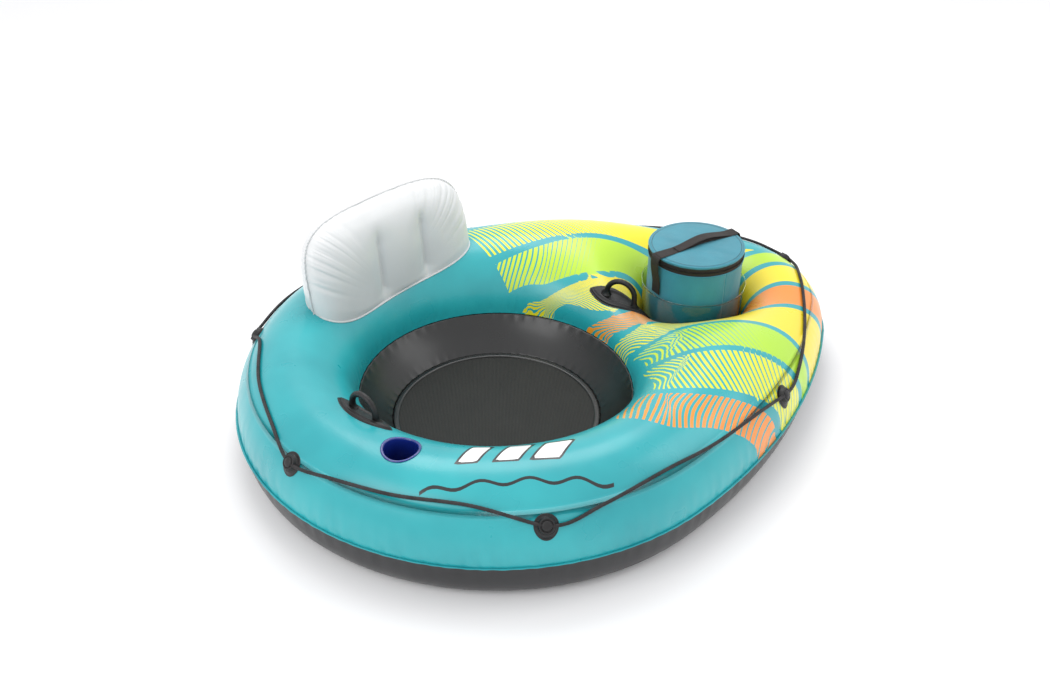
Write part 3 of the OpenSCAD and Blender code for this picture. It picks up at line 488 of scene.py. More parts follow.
def printed_pvc(name, dark, light, pitch):
    """Teal PVC film, screen-printed before welding: flat inks whose stripes, pitch apart, swell
    until they close to solid colour, with the film's own soft shine over ink and film alike."""
    material, tree = new_material(name)
    tone = uneven(tree, 6, 0, 1)
    film = two_tone(tree, tone.outputs[0], dark, light)
    feather = add(tree, "ShaderNodeAttribute", {"attribute_name": "feather"})
    parts = add(tree, "ShaderNodeSeparateXYZ", links={"Vector": feather.outputs["Vector"]})
    stack, along, gap = parts.outputs
    striped = by_feather(tree, stack, [linear(f[0]) for f in FEATHERS])
    solid = by_feather(tree, stack, [linear(f[1]) for f in FEATHERS])
    ways = by_feather(tree, stack, [(f[2], f[3], 0, 1) for f in FEATHERS])
    way = add(tree, "ShaderNodeSeparateColor", links={"Color": ways.outputs[0]})
    closing = add(
        tree, "ShaderNodeMapRange", {"clamp": False},
        {"Value": along, "From Min": way.outputs[0], "From Max": way.outputs[1]},
    )
    across = add(tree, "ShaderNodeMath", {"operation": "FRACT"}, {0: stack})
    lean = add(
        tree, "ShaderNodeMath", {"operation": "MULTIPLY_ADD", 1: -0.045}, {0: across.outputs[0], 2: along}
    )
    turns = add(tree, "ShaderNodeMath", {"operation": "DIVIDE", 1: pitch}, {0: lean.outputs[0]})
    wave = add(tree, "ShaderNodeMath", {"operation": "PINGPONG", 1: 0.5}, {0: turns.outputs[0]})
    width = add(
        tree, "ShaderNodeMapRange", {"To Min": 0.17, "To Max": 0.52}, {"Value": closing.outputs[0]}
    )
    stripe = add(
        tree, "ShaderNodeMath", {"operation": "LESS_THAN"}, {0: wave.outputs[0], 1: width.outputs[0]}
    )
    begun = add(tree, "ShaderNodeMath", {"operation": "GREATER_THAN", 1: 0.0}, {0: closing.outputs[0]})
    off_quill = add(tree, "ShaderNodeMath", {"operation": "GREATER_THAN", 1: 0.0095}, {0: gap})
    after_first = add(tree, "ShaderNodeMath", {"operation": "GREATER_THAN", 1: 0.0}, {0: stack})
    before_last = add(
        tree, "ShaderNodeMath", {"operation": "LESS_THAN", 1: float(len(FEATHERS))}, {0: stack}
    )
    ink = stripe
    for mask in (begun, off_quill, after_first, before_last):
        ink = add(
            tree, "ShaderNodeMath", {"operation": "MULTIPLY"}, {0: ink.outputs[0], 1: mask.outputs[0]}
        )
    tint = add(
        tree, "ShaderNodeMix", {"data_type": "RGBA"},
        {"Factor": closing.outputs[0], 6: striped.outputs[0], 7: solid.outputs[0]},
    )
    tint.clamp_factor = True
    printed = add(
        tree, "ShaderNodeMix", {"data_type": "RGBA"},
        {"Factor": ink.outputs[0], 6: film.outputs[2], 7: tint.outputs[2]},
    )
    mark = add(tree, "ShaderNodeAttribute", {"attribute_name": "front_mark"})
    edges = add(tree, "ShaderNodeSeparateXYZ", links={"Vector": mark.outputs["Vector"]})
    border = add(tree, "ShaderNodeMath", {"operation": "LESS_THAN", 1: 0.0}, {0: edges.outputs[0]})
    inner = add(tree, "ShaderNodeMath", {"operation": "LESS_THAN", 1: -0.0055}, {0: edges.outputs[0]})
    rule = add(
        tree, "ShaderNodeMath", {"operation": "COMPARE", 1: 0.0, 2: 0.0032}, {0: edges.outputs[1]}
    )
    ends = add(
        tree, "ShaderNodeMath", {"operation": "COMPARE", 1: 0.0, 2: 0.19}, {0: edges.outputs[2]}
    )
    line = add(
        tree, "ShaderNodeMath", {"operation": "MULTIPLY"}, {0: rule.outputs[0], 1: ends.outputs[0]}
    )
    black = add(
        tree, "ShaderNodeMath", {"operation": "MAXIMUM"}, {0: border.outputs[0], 1: line.outputs[0]}
    )
    outlined = add(
        tree, "ShaderNodeMix", {"data_type": "RGBA", 7: linear("#1e2022")},
        {"Factor": black.outputs[0], 6: printed.outputs[2]},
    )
    filled = add(
        tree, "ShaderNodeMix", {"data_type": "RGBA", 7: linear("#f1f4f2")},
        {"Factor": inner.outputs[0], 6: outlined.outputs[2]},
    )
    rough = uneven(tree, 11, 0.26, 0.36)
    bump = surface_grain(tree, 1.6, 0.1)
    shader = add(
        tree, "ShaderNodeBsdfPrincipled", {"IOR": 1.53, "Coat Weight": 0.2, "Coat Roughness": 0.2},
        {"Base Color": filled.outputs[2], "Roughness": rough.outputs[0], "Normal": bump.outputs[0]},
    )
    close(tree, shader)
    return material


def cloth(name, painted_gap_shade, thread_tops, thread_mm, roughness, depth, sheen=0.0, turn=0.0, ribbed=False):
    """Woven cloth, read along its own threads: a thread every thread_mm, each a little proud of
    the gap beside it, with painted shade darkening each gap between threads. Ribbed webbing shows its cross
    threads as ribs across the tape."""
    material, tree = new_material(name)
    place = add(tree, "ShaderNodeAttribute", {"attribute_name": "threads"})
    turned = add(
        tree, "ShaderNodeMapping", {"Rotation": (0, 0, turn)}, {"Vector": place.outputs["Vector"]}
    )
    parts = add(tree, "ShaderNodeSeparateXYZ", links={"Vector": turned.outputs[0]})
    waves = []
    for axis, coarse in ((0, 1), (1, 4 if ribbed else 1)):
        turns = add(
            tree, "ShaderNodeMath", {"operation": "MULTIPLY", 1: math.pi * 1000 / thread_mm / coarse},
            {0: parts.outputs[axis]},
        )
        wave = add(tree, "ShaderNodeMath", {"operation": "SINE"}, {0: turns.outputs[0]})
        waves.append(add(tree, "ShaderNodeMath", {"operation": "ABSOLUTE"}, {0: wave.outputs[0]}))
    height = add(
        tree, "ShaderNodeMath", {"operation": "MULTIPLY"}, {0: waves[0].outputs[0], 1: waves[1].outputs[0]}
    )
    # Painted shade: the gaps between threads take the darker first colour, the thread tops the second
    colour = two_tone(tree, height.outputs[0], painted_gap_shade, thread_tops)
    patch = uneven(tree, 14, 0.86, 1.06)
    shaded = add(
        tree, "ShaderNodeMix", {"data_type": "RGBA", "blend_type": "MULTIPLY", "Factor": 1.0},
        {6: colour.outputs[2], 7: patch.outputs[0]},
    )
    bump = add(
        tree, "ShaderNodeBump", {"Strength": depth, "Distance": 0.0008}, {"Height": height.outputs[0]}
    )
    shader = add(
        tree, "ShaderNodeBsdfPrincipled",
        {"IOR": 1.5, "Roughness": roughness, "Sheen Weight": sheen, "Sheen Roughness": 0.5},
        {"Base Color": shaded.outputs[2], "Normal": bump.outputs[0]},
    )
    close(tree, shader)
    return material


def clear_film(name):
    """Clear PVC film: water-white with a faint cool cast, glossy, and see-through."""
    material, tree = new_material(name)
    rough = uneven(tree, 14, 0.05, 0.14)
    bump = surface_grain(tree, 9, 0.25)
    shader = add(
        tree, "ShaderNodeBsdfPrincipled",
        {"Base Color": linear("#e9f5f5"), "IOR": 1.45, "Transmission Weight": 1.0},
        {"Roughness": rough.outputs[0], "Normal": bump.outputs[0]},
    )
    close(tree, shader)
    return material


PRINTED_TEAL = printed_pvc("printed_teal_pvc_film", "#1c9ba3", "#2badb3", 0.0135)
PLAIN_TEAL = pvc_film("plain_teal_pvc_film", "#1b949d", "#2ba8af")
BLACK_FILM = pvc_film("black_pvc_film", "#0c0c0f", "#141417", (0.30, 0.42), coat=0.2)
SKIRT_FILM = pvc_film("smooth_black_pvc_film", "#0c0c0c", "#151514", (0.26, 0.38), coat=0.25)
WHITE_FILM = pvc_film("white_pvc_film", "#d3d5d5", "#dfe0e0", (0.30, 0.40), coat=0.25)
NAVY_FILM = pvc_film("glossy_navy_pvc", "#10206a", "#1c3390", (0.12, 0.2), coat=0.6)
RUBBER = moulded("moulded_black_tpe", "#0c0b0c", "#161516", (0.38, 0.5), 0.6, 0.25)
GREY_FLAP = moulded("moulded_grey_tpe", "#2e2e2f", "#3d3d3e", (0.45, 0.6), 0.6, 0.2)
ROPE_YARN = moulded("braided_polypropylene_rope", "#121011", "#2a2527", (0.5, 0.7), 0.5, 0.5)
# Each cloth's first colour is painted shade for the gaps between its threads; the second is its threads' own
# colour
SEAT_NET = cloth("woven_polyester_mesh", "#0b0b0a", "#34342f", 3.4, 0.62, 0.9, turn=math.radians(30))
BAG_CLOTH = cloth("coated_oxford_polyester", "#1f7d90", "#3698ab", 1.6, 0.55, 0.35, sheen=0.25)
WEBBING = cloth("ribbed_polypropylene_webbing", "#120e0c", "#332a25", 1.1, 0.6, 0.7, ribbed=True)
FOAM = moulded("expanded_polyethylene_foam", "#d9d9d1", "#efefe9", (0.7, 0.85), 1.2, 0.6)
FOIL = pvc_film("foil_backed_liner_film", "#a9adb2", "#d3d6d9", (0.2, 0.34), 14, 0.5)
CLEAR = clear_film("clear_pvc_film")
ZIP_METAL = moulded("lacquered_zinc_slider", "#2b2b2d", "#4a4a4c", (0.28, 0.4), 0.8, 0.12, coat=0.3)
COIL = moulded("moulded_nylon_zip_coil", "#171416", "#2a2729", (0.38, 0.5), 0.5, 0.2)

# ---------------------------------------------------------------- ring skins
DIVIDE_LEN = 0.780
BANDS = [0, 0.0003, 0.0009, 0.0018, 0.0032, 0.0052, 0.0078, 0.0115, 0.016, 0.022, 0.029]
BAND_IN = 0.036
WIDE_N, NARROW_N, DIVIDE_N, ACROSS_N = 260, 150, 60, 40


def ring_plan():
    """Plan points and faces of a ring skin: bands along the outline, then rays to each hole."""
    edge_n = WIDE_N + NARROW_N
    lengths = np.concatenate([
        np.linspace(DIVIDE_LEN, 2 * HALF_LEN - DIVIDE_LEN, WIDE_N + 1),
        np.linspace(-DIVIDE_LEN, DIVIDE_LEN, NARROW_N + 1)[1:-1],
    ])
    rings = [np.array([outline(l, inset) for l in lengths]) for inset in BANDS + [BAND_IN]]
    end = outline(DIVIDE_LEN, BAND_IN)
    turn = math.pi * np.arange(1, DIVIDE_N) / DIVIDE_N
    divide = np.stack([np.full(DIVIDE_N - 1, end[0]), -end[1] * np.cos(turn)], axis=1)
    border_first = len(BANDS) * edge_n
    border = np.concatenate([rings[-1], divide])
    faces = [grid_faces(len(BANDS) + 1, edge_n, wrap_cols=True, flip=True)]
    left = [*range(WIDE_N + 1), *range(edge_n, edge_n + DIVIDE_N - 1)]
    right = [*range(WIDE_N, edge_n), 0, *range(edge_n + DIVIDE_N - 2, edge_n - 1, -1)]
    points = [*rings[:-1], border]
    first = border_first + len(border)
    share = 1 - np.cos(math.pi / 2 * np.arange(ACROSS_N) / ACROSS_N)
    for middle, radius, ends in ((SEAT, SEAT_R, left), (COOLER, COOLER_HOLE_R, right)):
        to = border[ends]
        away = to - middle
        start = middle + radius * away / np.linalg.norm(away, axis=1, keepdims=True)
        points.append((start[:, None, :] + (to - start)[:, None, :] * share[None, :, None]).reshape(-1, 2))
        index = first + np.arange(len(ends) * ACROSS_N).reshape(len(ends), ACROSS_N)
        index = np.concatenate([index, border_first + np.array(ends)[:, None]], axis=1)
        after = np.roll(index, -1, axis=0)
        quads = np.stack([index[:, :-1], after[:, :-1], after[:, 1:], index[:, 1:]], axis=-1)
        faces.append(quads.reshape(-1, 4)[:, ::-1])
        first += len(ends) * ACROSS_N
    return np.concatenate(points), np.concatenate(faces)


RING_PLAN, RING_FACES = ring_plan()


def seam_tucks(height, along, pitch, reach):
    """Short tucks that rise from a welded seam, where flat film was made to follow a curve."""
    turns = along / pitch + 0.35 * wobble(along / 0.31, 1.0)
    depth = (0.5 + 0.5 * np.cos(2 * math.pi * turns)) ** 3
    size = 0.65 + 0.35 * wobble(along / 0.17, 2.0)
    return depth * size * np.exp(-((height / reach) ** 1.5))


def ring_points(top):
    """The skin's points, with its tucks along the outer seam and round the seat hole."""
    p = RING_PLAN
    h = tube_rise(p)
    inside, along = to_outline(p)
    off_seat = p - SEAT
    from_seat = np.hypot(off_seat[:, 0], off_seat[:, 1]) - SEAT_R
    seat_along = np.arctan2(off_seat[:, 1], off_seat[:, 0]) * SEAT_R
    outer = inside < from_seat
    if top:
        z = SEAM_Z + h
        tuck = np.where(outer, 0.0056 * seam_tucks(h, along, 0.034, 0.042), 0.0)
        tuck += np.where(outer, 0.0, 0.0034 * seam_tucks(h, seat_along, 0.026, 0.026))
    else:
        z = SEAM_Z - np.minimum(SEAM_Z, 1.12 * SEAM_Z * h / (h**4 + SEAM_Z**4) ** 0.25)
        tuck = np.where(outer, 0.0044 * seam_tucks(SEAM_Z - z, along + 0.015, 0.036, 0.034), 0.0)
    normal = skin_normal(p) * [1, 1, 1 if top else -1]
    normal[h < 0.002] = 0
    return np.column_stack([p, z]) - normal * tuck[:, None]


def front_mark(p):
    """Slanted bars with a wavy rule under them: distance to the bars' edge, height over the
    rule, and place along it."""
    middle, way = np.array([-0.345, -0.392]), math.radians(-27)
    gap = p - middle
    s = gap[:, 0] * math.cos(way) + gap[:, 1] * math.sin(way)
    t = -gap[:, 0] * math.sin(way) + gap[:, 1] * math.cos(way)
    edge = np.full(len(p), 1.0)
    for k in (-1, 0, 1):
        slant = s - 0.55 * t - 0.078 * k
        edge = np.minimum(edge, np.maximum(np.abs(slant) - 0.028 - 0.004 * k, np.abs(t) - 0.036))
    rule = t + 0.083 - 0.006 * np.sin(2 * math.pi * s / 0.095)
    return np.stack([edge, rule, s], axis=-1)


def cut_round_hole(piece, middle, axis, radius, depth):
    """Cuts a round hole through a skin."""
    bpy.ops.mesh.primitive_cylinder_add(vertices=96, radius=radius, depth=depth, location=tuple(middle))
    cutter = bpy.context.object
    cutter.rotation_mode = "QUATERNION"
    cutter.rotation_quaternion = Vector(axis).to_track_quat("Z", "Y")
    bpy.context.view_layer.update()
    add_modifier(piece, "BOOLEAN", operation="DIFFERENCE", object=cutter, solver="EXACT")
    apply_modifiers(piece)
    bpy.data.objects.remove(cutter, do_unlink=True)


def make_ring():
    top = mesh_piece(
        "ring_top", ring_points(True), RING_FACES, PRINTED_TEAL, "ring", ["top_skin"], "teal_pvc"
    )
    cut_round_hole(top, (*CUP, 0.25), (0, 0, 1), CUP_R + 0.0021, 0.2)
    place, axes = skin_frame(seat_point(*VALVE))
    cut_round_hole(top, place, axes[2], 0.017, 0.07)
    print_plan = np.array([vertex.co.xy for vertex in top.data.vertices])
    keep_float(top, "feather", feather_coordinates(print_plan))
    keep_float(top, "front_mark", front_mark(print_plan))
    mesh_piece(
        "ring_bottom", ring_points(False), RING_FACES[:, ::-1], BLACK_FILM, "ring",
        ["bottom_skin"], "black_pvc",
    )


def make_outer_seam():
    """The welded edge: a flat band, pressed in a fine pitch and a little wavy."""
    n = 900
    lengths = np.linspace(0, 2 * HALF_LEN, n, endpoint=False)
    lift = 0.0006 * wobble(lengths / 0.06, 3.0) + 0.0004 * np.cos(2 * math.pi * lengths / 0.034)
    section = [(0.0006, -0.0007), (0.0006, 0.0007), (-0.0050, 0.0006), (-0.0058, 0.0), (-0.0050, -0.0006)]
    points = [
        [(*outline(l, inset), SEAM_Z + z + up * min(1, -inset / 0.004 + 0.15)) for inset, z in section]
        for l, up in zip(lengths, lift)
    ]
    mesh_piece(
        "outer_seam_band", np.array(points).reshape(-1, 3),
        grid_faces(n, len(section), wrap_rows=True, wrap_cols=True), PLAIN_TEAL, "ring",
        ["outer_weld_seam"], "teal_pvc",
    )


# ---------------------------------------------------------------- the slung seat
def make_seat():
    s = np.linspace(0, 1, 26)
    line = np.stack([
        MESH_R + 0.006 + (SEAT_R - MESH_R - 0.008) * s + 0.006 * np.sin(math.pi * s),
        MESH_Z + (SEAM_Z - MESH_Z - 0.001) * s,
    ], axis=-1)

    def gathers(a, r, z):
        """Small gathers where the skirt is welded, deepest at its two edges."""
        up = (z - MESH_Z) / (SEAM_Z - MESH_Z)
        fold = 0.5 + 0.5 * np.cos(64 * a + 2.0 * wobble(a / math.pi, 4.0))
        return r + 0.0018 * fold**3 * (smooth(0.72, 1.0, up) + 0.7 * smooth(0.25, 0.0, up)), z

    skirt = revolve(
        "seat_skirt_film", line, SKIRT_FILM, "ring", SEAT, 360, gathers,
        stands_for=["seat_skirt"], slot="black_pvc",
    )
    add_modifier(skirt, "SOLIDIFY", thickness=0.0007, offset=0)

    rings, spokes = 44, 144
    r = MESH_R * np.linspace(0.004, 1, rings)
    a = np.linspace(0, 2 * math.pi, spokes, endpoint=False)
    rr, aa = np.meshgrid(r, a, indexing="ij")
    x, y = rr * np.cos(aa), rr * np.sin(aa)
    z = MESH_Z - MESH_SAG * (1 - (rr / MESH_R) ** 2) - 0.0004 * (1 + np.cos(6 * aa)) * (rr / MESH_R) ** 6
    points = np.stack([SEAT[0] + x, SEAT[1] + y, z], axis=-1).reshape(-1, 3)
    faces = [tuple(f) for f in grid_faces(rings, spokes, wrap_cols=True)] + [tuple(range(spokes))]
    net = mesh_piece("seat_net", points, faces, SEAT_NET, "ring", ["seat_mesh"], "seat_mesh")
    keep_float(net, "threads", np.stack([x, y, 0 * x], axis=-1).reshape(-1, 3))

    band = [(MESH_R - 0.0075, 0.0), (MESH_R - 0.0065, 0.0016), (MESH_R - 0.002, 0.0022),
            (MESH_R + 0.002, 0.0016), (MESH_R + 0.0055, 0.0021), (MESH_R + 0.0065, 0.0)]
    ring_line = [(r, MESH_Z + 0.0004 + z) for r, z in band]

    def pressed(a, r, z):
        return r, z + 0.0003 * (z > MESH_Z + 0.001) * np.cos(240 * a)

    revolve(
        "net_weld_ring", ring_line, SKIRT_FILM, "ring", SEAT, 720, pressed,
        stands_for=["mesh_weld_ring"], slot="black_pvc",
    )


# ---------------------------------------------------------------- the backrest
def back_point(x, v, off):
    """A point at x along the backrest, v up it and off from the middle of its thickness."""
    up = v / BACK_H
    bend = (1 - up) / BACK_FOOT_BEND + up / BACK_CROWN_BEND
    y = BACK_Y + BACK_LEAN * up - bend * x**2 / 2 + off
    plan = seat_point(x + BACK_X, y)
    foot = skin_z(plan) - 0.003
    return np.concatenate([plan, (foot + (BACK_TOP_Z - foot) * up)[..., None]], axis=-1)


def make_backrest():
    """A pillow of two white panels, blown up between a welded rim and two inner ribs."""
    turns, steps = 220, 60
    a = np.linspace(0, math.pi, turns)
    s = np.linspace(0, 1, steps) ** 0.75
    aa, ss = np.meshgrid(a, s, indexing="ij")
    power = 2 / BACK_SQUARE
    x = ss * BACK_HALF_W * np.sign(np.cos(aa)) * np.abs(np.cos(aa)) ** power
    v = ss * BACK_H * np.abs(np.sin(aa)) ** power
    up = v / BACK_H
    full = BACK_HALF_T * (1 - BACK_TAPER * up)
    depth = full * np.sqrt(np.maximum(0, 1 - ss**BACK_CROWN))
    # The ribs hold the panels in along two creases that fade out towards the crown
    held = smooth(0.86, 0.56, up) * smooth(0.0, 0.12, up)
    furrow = sum(np.exp(-(((x - rib) / 0.009) ** 2)) for rib in RIBS)
    hollow = sum(np.exp(-(((x - rib) / 0.032) ** 2)) for rib in RIBS)
    depth = depth - held * (0.009 * furrow + 0.008 * hollow) * depth / full
    # The foot draws in a little where it is welded to the ring
    depth = depth - 0.006 * np.exp(-((v / 0.012) ** 2)) * depth / full
    # Short tucks and a few longer pulls run in from the rim
    rim_way = aa / math.pi * 0.95
    rim_gap = (1 - ss) * 0.24
    tucks = (0.5 + 0.5 * np.cos(2 * math.pi * (rim_way / 0.024 + 0.35 * wobble(rim_way / 0.13, 2)))) ** 2
    pulls = (0.5 + 0.5 * np.cos(2 * math.pi * (rim_way / 0.061 + 0.3 * wobble(rim_way / 0.2, 5)))) ** 3
    strength = 0.6 + 0.4 * wobble(rim_way / 0.07, 8)
    off_rim = ss < 0.995
    depth = depth - 0.0034 * strength * tucks * np.exp(-((rim_gap / 0.020) ** 1.2)) * off_rim
    depth = depth - 0.0030 * pulls * np.exp(-((rim_gap / 0.045) ** 1.4)) * off_rim
    sides = [back_point(x, v, side * (0.0004 + np.maximum(depth, 0))) for side in (-1, 1)]
    points = np.concatenate([side.reshape(-1, 3) for side in sides])
    faces = np.concatenate([
        grid_faces(turns, steps, flip=True), grid_faces(turns, steps, first=turns * steps)
    ])
    cushion = mesh_piece(
        "backrest_cushion", points, faces, WHITE_FILM, "ring",
        ["backrest_front_panel", "backrest_rear_panel", "backrest_rib_left", "backrest_rib_right"],
        "white_pvc",
    )
    add_modifier(cushion, "WELD", merge_threshold=0.0003)
    apply_modifiers(cushion)

    # The welded rim is a thin band that waves a little along its free edge
    count = 400
    step = np.arange(count)
    angle = np.linspace(0, math.pi, count)
    wave = 0.0012 * np.cos(2 * math.pi * step / 9.0) + 0.0008 * wobble(step / 31, 1.5)
    edges = []
    for grow, thick in ((-0.001, -0.0006), (-0.001, 0.0006), (0.0044, 0.0004), (0.0044, -0.0004)):
        x = (BACK_HALF_W + grow) * np.sign(np.cos(angle)) * np.abs(np.cos(angle)) ** power
        v = (BACK_H + grow) * np.abs(np.sin(angle)) ** power
        edges.append(back_point(x, v, thick + wave * (grow > 0)))
    mesh_piece(
        "backrest_seam_band", np.stack(edges, axis=1).reshape(-1, 3),
        grid_faces(count, len(edges), wrap_cols=True), WHITE_FILM, "ring",
        ["backrest_weld_seam"], "white_pvc",
    )

    # A pale bead of weld shows where each panel meets the ring
    way = np.linspace(-0.985, 0.985, 160)
    for side, name in ((-1, "backrest_front_foot"), (1, "backrest_rear_foot")):
        depth = BACK_HALF_T * np.sqrt(1 - np.abs(way) ** BACK_CROWN) - 0.006
        line = back_point(way * BACK_HALF_W, 0 * way, side * (depth + 0.002))
        line[:, 2] += 0.0042
        points, faces = tube_along(line, 0.0024, 10)
        mesh_piece(name, points, faces, WHITE_FILM, "ring", (), "white_pvc")


# ---------------------------------------------------------------- handles and cup holder
def make_handle(name, at, turn, node):
    """A leaf-shaped moulded plate on its welded backing, with an upright arched grip."""
    along = np.array([math.cos(turn), math.sin(turn)])
    out = np.array([math.sin(turn), -math.cos(turn)])
    arc_r = (HANDLE_L**2 / 4 + HANDLE_W**2 / 4) / HANDLE_W

    def leaf(grow, profile, rows=110, cols=48):
        s = (HANDLE_L / 2 + grow) * np.sin(np.linspace(-1, 1, rows) * math.pi / 2)
        scale = HANDLE_L / 2 / (HANDLE_L / 2 + grow)
        half = np.maximum(np.sqrt(arc_r**2 - (s * scale) ** 2) - arc_r + HANDLE_W / 2 + grow, 0.0012)
        c = np.sin(np.linspace(-1, 1, cols) * math.pi / 2)
        w = half[:, None] * c[None, :]
        plan = at + along * s[:, None, None] + out * w[..., None]
        edge = np.minimum(half[:, None] - np.abs(w), (HANDLE_L / 2 + grow) - np.abs(s)[:, None])
        height = profile(edge, s[:, None] + 0 * w)
        points = np.concatenate([plan, 0 * height[..., None]], axis=-1)
        points += skin_normal(plan) * height[..., None]
        points[..., 2] += skin_z(plan)
        return points.reshape(-1, 3), grid_faces(rows, cols, flip=True)

    def plate(edge, s):
        rim = 0.0040 * smooth(0.0, 0.0022, edge) + 0.0016 * smooth(0.006, 0.0085, edge)
        dish = 0.0032 * smooth(0.0115, 0.0155, edge)
        ends = smooth(0.052, 0.046, np.abs(s))
        return 0.0006 + rim - dish * ends

    def backing(edge, s):
        return -0.0004 + 0.0016 * smooth(0.0, 0.0016, edge)

    points, faces = leaf(0.0, plate)
    mesh_piece(f"{name}_plate", points, faces, RUBBER, "ring", [node], "moulded_black")
    points, faces = leaf(0.0035, backing)
    mesh_piece(f"{name}_backing", points, faces, RUBBER, "ring", [f"{node}_patch"], "moulded_black")

    feet = [float(skin_z(at + side * GRIP_ARCH_R * along)) + 0.002 for side in (-1, 1)]
    round_foot = np.linspace(0, 2 * math.pi, 13)[:, None]
    high = max(
        float(np.max(skin_z(
            at + side * along * (GRIP_ARCH_R + GRIP_BAR_R * np.cos(round_foot))
            + out * GRIP_BAR_R * np.sin(round_foot)
        )))
        for side in (-1, 1)
    )
    arch = max(float(skin_z(at)) + GRIP_RISE, high + GRIP_LEG)
    way = np.concatenate([
        [[-GRIP_ARCH_R, h] for h in np.linspace(feet[0] - 0.002, arch, 14)[:-1]],
        [
            [-GRIP_ARCH_R * math.cos(t), arch + GRIP_ARCH_R * math.sin(t)]
            for t in np.linspace(0, math.pi, 40)
        ],
        [[GRIP_ARCH_R, h] for h in np.linspace(arch, feet[1] - 0.002, 14)[1:]],
    ])
    path = np.column_stack([at + along * way[:, :1], way[:, 1]])
    above_foot = way[:, 1] - np.where(way[:, 0] < 0, feet[0], feet[1])
    flare = 0.0052 * np.exp(-np.maximum(above_foot - 0.001, 0) / 0.005)
    ribs = 0.00035 * np.cos(np.arange(len(way)) * 2.1) * smooth(0.016, 0.026, way[:, 1] - arch)
    points, faces = tube_along(path, GRIP_BAR_R - 0.0002 + flare + ribs, 28, up=(*out, 0))
    grip = mesh_piece(f"{name}_grip", points, faces, RUBBER, "ring", (), "moulded_black")
    add_modifier(grip, "SUBSURF", levels=1, render_levels=1)


def make_cup_holder():
    """A vacuum-formed cup whose lip is welded to the skin, so the lip follows its slope."""
    turns = 128
    a = np.linspace(0, 2 * math.pi, turns, endpoint=False)
    around = np.stack([np.cos(a), np.sin(a)], axis=-1)
    rim_z = float(np.min(skin_z(CUP + (CUP_R + 0.0015) * around))) - 0.001
    lip = [(0.0046, 0.0004), (0.0042, 0.0011), (0.0020, 0.0012), (0.0006, 0.0004), (-0.0002, -0.0012)]
    columns = []
    for past_bore, over_skin in lip:
        plan = CUP + (CUP_R + past_bore) * around
        columns.append(np.column_stack([plan, skin_z(plan) + over_skin]))
    floor = rim_z - CUP_DEPTH
    well = rounded_line(
        [(CUP_R, rim_z - 0.006), (CUP_R, floor + 0.012), (CUP_R - 0.001, floor), (0.026, floor),
         (0.025, floor + 0.0025), (0.014, floor + 0.0025), (0.013, floor + 0.001), (0.0002, floor + 0.001)],
        0.004, 0.006,
    )
    for r, z in well:
        columns.append(np.column_stack([CUP + r * around, np.full(turns, z)]))
    points = np.stack(columns, axis=1).reshape(-1, 3)
    faces = grid_faces(turns, len(columns), wrap_rows=True)
    cup = mesh_piece("cup_holder_well", points, faces, NAVY_FILM, "ring", ["cup_holder"], "navy_pvc")
    add_modifier(cup, "SOLIDIFY", thickness=0.0009, offset=-1)


# ---------------------------------------------------------------- rope, knot and guides
def rope_line(per_span):
    """The rope's middle line, lifted a little off the skin at each guide and at the knot."""
    plan = smooth_route(np.array(ROPE_ROUTE) / 1000, per_span, True)
    step = np.linalg.norm(np.roll(plan, -1, axis=0) - plan, axis=1)
    gone = np.concatenate([[0], np.cumsum(step)])[:-1]
    total = step.sum()
    lift = np.full(len(plan), ROPE_D / 2 + 0.0004)
    for k in [4 * per_span * i for i in range(7)] + [21 * per_span + per_span // 6]:
        gap = np.abs((gone - gone[k] + total / 2) % total - total / 2)
        lift += 0.0036 * np.exp(-((gap / 0.034) ** 2))
    points = np.column_stack([plan, skin_z(plan)]) + skin_normal(plan) * lift[:, None]
    return points


def make_rope():
    """Solid-braid rope: sixteen strands that cross in diamonds."""
    per_span = 72
    points = rope_line(per_span)
    sides = 20
    a = np.linspace(0, 2 * math.pi, sides, endpoint=False)
    length = np.concatenate([[0], np.cumsum(np.linalg.norm(np.diff(points, axis=0), axis=1))])
    twist = 2 * math.pi * length[:, None] / 0.016
    braid = np.cos(4 * a[None, :] + twist) * np.cos(4 * a[None, :] - twist)
    rings, faces = tube_along(points, ROPE_D / 2 - 0.0003, sides, closed=True)
    middle = np.repeat(points, sides, axis=0)
    rings = middle + (rings - middle) * (1 + 0.085 * braid.reshape(-1, 1))
    mesh_piece("grab_rope_braid", rings, faces, ROPE_YARN, "ring", ["grab_rope"], "braided_rope")

    knot_at = 21 * per_span + per_span // 6
    here = points[knot_at]
    ahead = points[knot_at + 1] - points[knot_at - 1]
    ahead /= np.linalg.norm(ahead)
    n = skin_normal(here[:2])
    side = np.cross(n, ahead)
    t = np.linspace(0, 2 * math.pi, 120, endpoint=False)
    loops = (
        here
        + ahead * (0.0055 * np.sin(3 * t))[:, None]
        + side * (0.0024 * (np.sin(t) + 2 * np.sin(2 * t)))[:, None]
        + n * (0.0022 * (np.cos(t) - 2 * np.cos(2 * t)) + 0.001)[:, None]
    )
    rings, faces = tube_along(loops, 0.0030, 14, closed=True, up=ahead + 0.3 * side)
    mesh_piece("rope_knot_wraps", rings, faces, ROPE_YARN, "ring", ["rope_knot"], "braided_rope")


